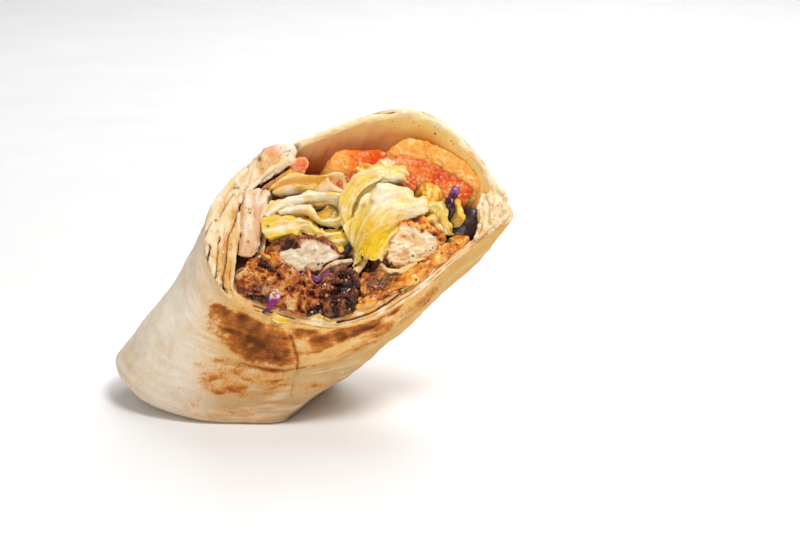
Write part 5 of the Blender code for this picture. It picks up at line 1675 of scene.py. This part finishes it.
# %% A strip on edge
def strip_form(path, width, proud, salt, stations=60, flat_points=10, side_points=5, deep=9):
    """Points and faces of an upright strip along a path over the cut face.

    Also, for each point, its share of the way along, and how far down the side it is.
    """
    curve = resampled(smooth_curve(path, 16, closed=False), stations)
    tangent = np.gradient(curve, axis=0)
    tangent /= np.linalg.norm(tangent, axis=1, keepdims=True)
    normal = columns(-tangent[:, 1], tangent[:, 0])
    here = columns(*curve.T, 0)
    curve = curve + normal * (0.35 * noise(here, 3, 2, salt))[:, None]
    width = width * (1 + 0.25 * noise(here, 2.4, 2, salt + 1))
    taper = np.sin(np.linspace(0.12, math.pi - 0.12, stations)) ** 0.35
    turn = np.linspace(-1, 1, flat_points)
    sunk = np.linspace(0.15, 1, side_points) * deep
    across = np.concatenate([turn, np.ones(side_points), -np.ones(side_points)])
    drop = np.concatenate([0.6 * turn ** 4, sunk, sunk[::-1]])
    flat = curve[:, None] + normal[:, None] * (0.5 * width * taper)[:, None, None] * across[:, None]
    points, faces = sewn(spot(flat[..., 0], flat[..., 1], proud - drop))
    along, drop = np.broadcast_arrays(np.linspace(0, 1, stations)[:, None], drop)
    return points, faces, with_ends(along), with_ends(drop)


# %% Make the shreds and slivers
for number, (name, (path, width, proud, slot, palette)) in enumerate(SHREDS.items()):
    points, faces, along, drop = strip_form(path, width, proud, 400 + 5 * number)
    shred = new_piece(name + "_shred", points, faces, SHRED_FINISHES[slot])
    push_out(shred, 0.28 * noise(points, 1.8, 2, 410 + number))
    tone = np.clip(along + 0.25 * noise(points, 2, 2, 420 + number), 0, 1)
    paint(shred, "tint", deep_shade(along_colours(palette, tone), 0.5, drop, 1, 5))
    serve(shred, slot, name)

# %% Melted lumps
LUMPS = {
    "cheese_clump": ([(19.2, 8), (20.8, 10.7), (24.6, 9.9), (26.5, 6.6), (24.8, 4.3), (21, 4)],
                     (22.8, 7.2), -1, shades((228, 136, 20), (250, 180, 40), (254, 220, 120))),
    "cheese_upper": ([(5.4, 17.4), (7.4, 19.2), (10.7, 18.2), (11.1, 15.4), (8, 14.8), (5.5, 15.6)],
                     (8.2, 17), -0.8, shades((244, 150, 30), (251, 184, 60), (255, 232, 196))),
    "cheese_fold": ([(-25, 13.6), (-23.4, 15.4), (-21.6, 16.6), (-20.8, 15.2), (-21.4, 13.4),
                     (-23.4, 12.8)],
                    (-22.6, 14.6), 0.6, shades((226, 130, 30), (248, 176, 52), (252, 206, 110))),
}
for number, (name, (outline, centre, front, palette)) in enumerate(LUMPS.items()):
    lump, at, _, down, *_ = thick_piece(
        name + "_melt", cheese_finish, outline, centre, front, 1.6, length=20, sides=90, cap=30)
    strands = noise(at * (1.4, 1, 0.7), 1.8, 3, 430 + number)
    push_out(lump, 0.45 * strands * eased(down, 10, 4))
    tint = along_colours(palette, np.clip(0.5 + 0.7 * strands, 0, 1))
    paint(lump, "tint", deep_shade(tint, 0.5, down, 2, 8))
    serve(lump, "melted_cheese", *([name] if name in frame["nodes"] else []))

# %% Streaks of sauce over the crust
DRIPS = {
    "golden": ([(261, 252), (268, 258), (278, 264.6), (290, 270), (302, 273)], 1.7, 1.2,
               shades((226, 130, 32), (252, 196, 100), (214, 120, 34))),
    "pale": ([(284, 259), (290, 266), (295, 275), (297, 286), (295, 298)], 1.7, 1.4,
             shades((206, 160, 96), (226, 176, 104), (190, 116, 44))),
    "cream": ([(366, 257), (362, 266), (354, 274), (350, 284), (346, 294)], 2.2, 0.6,
              shades((228, 170, 92), (250, 214, 150), (222, 148, 60))),
    # The low streak is painted pale as a highlight on the sauce over the dark crust.
    "low": ([(352, 290), (345, 296), (341, 304), (338, 311)], 1.5, 2.6,
            shades((214, 186, 150), (240, 220, 190), (150, 96, 60))),
    "amber": ([(306, 268), (312, 280), (309, 292), (303, 303)], 1.6, 2.2,
              shades((150, 60, 20), (216, 116, 44), (238, 150, 66))),
}
parts = []
for number, (path, width, proud, palette) in enumerate(DRIPS.values()):
    path = [seen(x, y) for x, y in path]
    points, faces, along, _ = strip_form(path, width, proud, 460 + 5 * number, deep=3)
    tone = np.clip(along + 0.3 * noise(points, 1.6, 2, 490 + number), 0, 1)
    parts.append((points, faces, along_colours(palette, tone)))
points, faces, tint = joined(parts)
drips = new_piece("sauce_streaks", points, faces, cheese_finish)
push_out(drips, 0.35 * noise(points, 1.6, 3, 495))
paint(drips, "tint", tint)
serve(drips, "melted_cheese")

# %% Sauce and cheese run along the lower edge
RUN = rails_of("""
352 301 -2.6, 372 289 -1.6, 392 279.5 -0.8, 410 269 -0.2, 428 256.6, 444 244.4 -0.8, 458 233 -2.4;
356 306 -1, 377 294.6 0.6, 397 285 1.8, 416 274.6 2, 434 261.6 1.8, 451 248 1.4, 466 236.6 -0.4;
358 307.6 -0.8, 379 297.4 0.5, 400 287.8 1, 419 277, 437 263.6 0.9, 455 249.4 0.6, 469 238.8 -0.4;
360 309.4 -3, 382 299.6, 402.6 290 -2.8, 421.4 279.4, 439.4 266, 457.4 251.4 -3, 471 241 -3.4
""")


def run_lift(points, u, v, length, width):
    return 1.0 * noise(points, 4.2, 3, 451) + 0.3 * creases(u, v, 1.8, 452, 2.5)


points, faces, values = sheet_form(RUN, 170, 60, 1, run_lift)
run = new_piece("cheese_run", points, faces, cheese_finish)
_, _, raised, *_ = values.T
tone = np.clip(0.58 + 0.42 * raised + 0.35 * noise(points, 2.6, 3, 453), 0, 1)
paint(run, "tint", along_colours(
    shades((150, 66, 14), (222, 122, 24), (244, 164, 48), (252, 204, 110)), tone))
serve(run, "melted_cheese")

# %% [markdown]
# ## Black beans
# A cooked black bean has a smooth dark skin with a grey bloom and a soft highlight, and a dent along
# one side. It is a ball of rings, stretched, dented and wrinkled. A ready-made ball would do too,
# but rings are sewn and painted like every other piece here.

# %% Make the beans
bean_finish = food_finish(
    "bean_skin", [(1.2, 0.3)], [(2.2, 0.16), (0.5, 0.04)], (0.22, 0.4), coat=0.3)
BEAN_DENT = 0.3
BEANS = {
    "bean_right": ((35.4, 0.4), 5.8, 4, 62, 4.6),
    "bean_middle": ((29.4, -8), 2.9, 2.3, 20, 2.6),
}


def ball(top, rows, sides):
    """Rings round a ball of radius 1, from this angle below its middle to the same angle above."""
    spins = np.linspace(0, 2 * math.pi, sides, endpoint=False)
    lift, spin = np.meshgrid(np.linspace(-top, top, rows), spins, indexing="ij")
    return np.cos(lift) * np.cos(spin), np.cos(lift) * np.sin(spin), np.sin(lift)


for number, (name, (centre, half_length, half_width, turn, middle)) in enumerate(BEANS.items()):
    along = np.array([math.cos(math.radians(turn)), math.sin(math.radians(turn))])
    aside = np.array([-along[1], along[0]])
    x, y, z = ball(1.5, 40, 64)
    flat = centre + (x * half_length)[..., None] * along
    flat = flat + (y * half_width - BEAN_DENT * half_width * (1 - x * x))[..., None] * aside
    points, faces = sewn(spot(flat[..., 0], flat[..., 1], z * half_width - middle))
    bean = new_piece(name + "_skin", points, faces, bean_finish)
    bloom = eased(noise(points, 2.6, 3, 440 + number), -0.2, 0.9)
    paint(bean, "tint", mixed(shade(40, 18, 18), shade(112, 82, 78), 0.7 * bloom))
    push_out(bean, 0.12 * noise(points, 1.9, 2, 445 + number))
    serve(bean, "black_beans", name)

# %% [markdown]
# ## Sauce in the gaps
# Between the pieces the real wrap isn't empty: sauce, melted cheese and crumbs fill the gaps a few
# millimetres down. One lumpy sheet behind the pieces, as wide as the pocket, does the same work. It
# leans back towards the top, is dark and brown among the chicken, and orange near the tomato; the
# near black in its hollows is painted shade.

# %% Make the bed of sauce
sauce_finish = food_finish(
    "sauce", [(0.9, 0.3), (0.4, 0.2)], [(1.4, 0.25, "cells"), (0.5, 0.12)], (0.12, 0.35),
    glow=(0.15, 1, (1, 0.4, 0.15)), coat=0.5)
BED_SHARE = 0.985
bed_outline = [(s * BED_SHARE, t * BED_SHARE) for s, t in POCKET]
bed, at, inwards, _, _, flat = thick_piece(
    "sauce_bed", sauce_finish, bed_outline, (0, 0), 9.5, 1, slope=(0, 0.17), length=10, sides=260,
    cap=70, back=4)
upper = eased(flat[:, 1] - 0.2 * flat[:, 0], 4, 12)
lumps, _ = crags(at, 500)
push_out(bed, (1.1 * lumps + 1.6 * noise(at, 7, 2, 505)) * eased(inwards, 0.5, 5) * (1 - 0.7 * upper))
# Painted shade: the bed is near black in its hollows, over the sauce's own brown.
low = along_colours(shades((36, 14, 6), (96, 42, 12), (170, 94, 34)), eased(lumps, -0.7, 1))
high = mixed(shade(206, 104, 46), shade(238, 148, 84), eased(noise(at, 6, 3, 507), -0.3, 0.6))
tucked_in(bed, -2.4)
paint(bed, "tint", mixed(low, high, upper))
serve(bed, "crispy_crust")

# %% [markdown]
# ## Crumbs
# Cutting a toasted wrap leaves crumbs on the cut. Each crumb is a small dented ball. A ray is sent
# at the cut from in front, and the crumb sits where the ray meets the food. Without the ray, crumbs
# would float over the hollows or sink into the lumps.

# %% Find the food's surface in front
from mathutils import Vector
from mathutils.bvhtree import BVHTree

corners, triangles = [], []
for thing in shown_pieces():
    if thing.get("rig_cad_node") or thing.type != "MESH":
        continue
    start = len(corners)
    corners.extend(vertex.co.copy() for vertex in thing.data.vertices)
    triangles.extend([index + start for index in face.vertices] for face in thing.data.polygons)
surface = BVHTree.FromPolygons(corners, triangles)
print("surface of", len(triangles), "faces")


RAY_START = 12.0
DEEPEST_CRUMB = -3.0


def food_surface(s, t):
    """Where a ray sent straight at the cut meets the food, in millimetres, and its slope there."""
    start = (on_cut(s, t) + OUT_OF_CUT * RAY_START - ORIGIN) * MM
    place, normal, _, _ = surface.ray_cast(Vector(start), Vector(-OUT_OF_CUT))
    if place is None:
        return None, None
    return np.array(place) / MM + ORIGIN, np.array(normal)


# %% Scatter the crumbs
CRUMB_ZONES = [
    ([(-40, -18), (-30, -16), (-10, -20), (4, -18), (28, -9), (32, -12), (10, -28), (-8, -34),
      (-30, -30)], 130,
     (0.22, 0.65), shades((110, 52, 22), (186, 110, 48), (244, 204, 150), (230, 150, 60))),
    ([(-48, -6), (-42, 9), (-26, 22), (-22, 20), (-32, 8), (-36, -14), (-42, -26)], 40,
     (0.14, 0.36), shades((250, 232, 204), (222, 168, 104), (190, 130, 76))),
    ([(-12, 27), (14, 33), (32, 24), (42, 10), (38, 12), (26, 24), (6, 30)], 26,
     (0.15, 0.4), shades((250, 224, 190), (140, 60, 70), (220, 150, 90))),
    ([(-28, -8), (-8, -8), (-6, -16), (-26, -18)], 8,
     (0.15, 0.4), shades((90, 44, 24), (200, 140, 80))),
    ([(10, -18), (24, -12), (26, -6), (16, -2), (10, -8)], 8,
     (0.15, 0.35), shades((120, 60, 24), (190, 110, 50))),
]
CRUMB_SEED = 7
crumb_finish = food_finish(
    "crumbs", [(0.4, 0.2)], [(0.3, 0.06)], (0.35, 0.6), glow=(0.1, 0.5, (1, 0.5, 0.3)), coat=0.2)


def crumb_rings(centre, size, draw):
    """A dented ball of eight sides."""
    dented = columns(*ball(1.1, 5, 8)) * draw.uniform(0.65, 1.25, (5, 8, 1)) * draw.uniform(0.6, 1.3, 3)
    return centre + size * dented


draw = np.random.default_rng(CRUMB_SEED)
crumb_parts = []
for outline, count, (smallest, largest), palette in CRUMB_ZONES:
    low, high = np.min(outline, axis=0), np.max(outline, axis=0)
    made = 0
    while made < count:
        s, t = draw.uniform(low, high)
        size = smallest + (largest - smallest) * draw.random() ** 2
        colour = palette[draw.integers(len(palette))]
        if not inside_outline(np.array([[s, t]]), outline)[0]:
            continue
        made += 1
        place, normal = food_surface(s, t)
        if place is None or over_cut(place) < DEEPEST_CRUMB:
            continue
        points, faces = sewn(crumb_rings(place + 0.2 * size * normal, size, draw))
        crumb_parts.append((points, faces, np.tile(colour, (len(points), 1))))
points, faces, tint = joined(crumb_parts)
crumbs = new_piece("crumbs", points, faces, crumb_finish)
paint(crumbs, "tint", tint)
print(len(crumb_parts), "crumbs")
serve(crumbs, "crispy_crust")

# %% [markdown]
# ## The table, the light and the camera
# The wrap stands on a pale table in a bright, soft studio. A curved sheet makes floor and backdrop
# in one. A large soft light overhead, a little to the right, lights the cut and whitens the table.
# One from behind gives the bright rim, a weak one in front lifts the shadows, and the white
# surroundings fill the rest.

# %% Floor and backdrop
def make_sweep(width=3, front=-1.2, back=1.1, bend=0.5, height=2):
    """A pale floor that bends up into a backdrop; its sizes are in metres."""
    turn = np.linspace(0, math.pi / 2, 24)
    profile = [(front, 0)] + [(back + bend * math.sin(a), bend * (1 - math.cos(a))) for a in turn]
    profile.append((back + bend, height))
    points = [(x, y, z) for y, z in profile for x in (-width, width)]
    faces = [(2 * i, 2 * i + 1, 2 * i + 3, 2 * i + 2) for i in range(len(profile) - 1)]
    mesh = bpy.data.meshes.new("studio_sweep")
    mesh.from_pydata(points, [], faces)
    mesh.shade_smooth()
    material, tree, shader = new_material("pale_table")
    tone = ramp(tree, texture(tree, 60), (0.3, (0.88, 0.88, 0.89)), (0.7, (0.92, 0.92, 0.925)))
    tree.links.new(tone, shader.inputs["Base Color"])
    shader.inputs["Roughness"].default_value = 0.45
    mesh.materials.append(material)
    put_in_scene("studio_sweep", mesh)
    print("table and backdrop:", len(faces), "faces")


make_sweep()

# %% Lights and surroundings
def soft_light(name, place, aim, size, watts, colour=(1, 1, 1)):
    """A round light of this size, in metres, that looks at its aim."""
    data = bpy.data.lights.new(name, "AREA")
    data.shape = "DISK"
    data.size = size
    data.energy = watts
    data.color = colour
    lamp = put_in_scene(name, data)
    lamp.location = place
    lamp.rotation_euler = (Vector(aim) - Vector(place)).to_track_quat("-Z", "Y").to_euler()
    print(name, "light:", watts, "watts")


MIDDLE = (0, 0, 0.05)
soft_light("overhead", (0.35, -0.3, 1.00), MIDDLE, 0.45, 7.8, (1.0, 0.985, 0.96))
soft_light("behind", (0.25, 0.85, 0.95), (0.0, 0.25, 0.0), 0.9, 9.0)
soft_light("front", (-0.45, -1.00, 0.3), MIDDLE, 0.7, 3.4, (1.0, 0.96, 0.9))
world = bpy.data.worlds.new("white_studio")
bpy.context.scene.world = world
world.use_nodes = True
surroundings = world.node_tree.nodes["Background"]
surroundings.inputs["Color"].default_value = (1.0, 0.99, 0.97, 1)
surroundings.inputs["Strength"].default_value = 0.26
bpy.context.scene.view_settings.view_transform = "Standard"

# %% Camera
LENS = 85.0
SENSOR = 36.0
PICTURE_WIDTH = 800
ELEVATION = math.radians(15)
RIGHT_OF_CUT, BELOW_CUT = 12.8, 16.48
forward = np.array([0.0, math.cos(ELEVATION), -math.sin(ELEVATION)])
upward = np.array([0.0, math.sin(ELEVATION), math.cos(ELEVATION)])
distance = PIXEL_ACROSS * PICTURE_WIDTH * LENS / SENSOR
aim = CUT_CENTRE + np.array([RIGHT_OF_CUT, 0, 0]) - BELOW_CUT * upward
camera_data = bpy.data.cameras.new("camera")
camera_data.lens = LENS
camera_data.sensor_width = SENSOR
camera = put_in_scene("camera", camera_data)
camera.location = (aim - distance * forward - ORIGIN) * MM
camera.rotation_euler = Vector(forward).to_track_quat("-Z", "Y").to_euler()
bpy.context.scene.camera = camera
print("camera is", round(distance), "mm away")
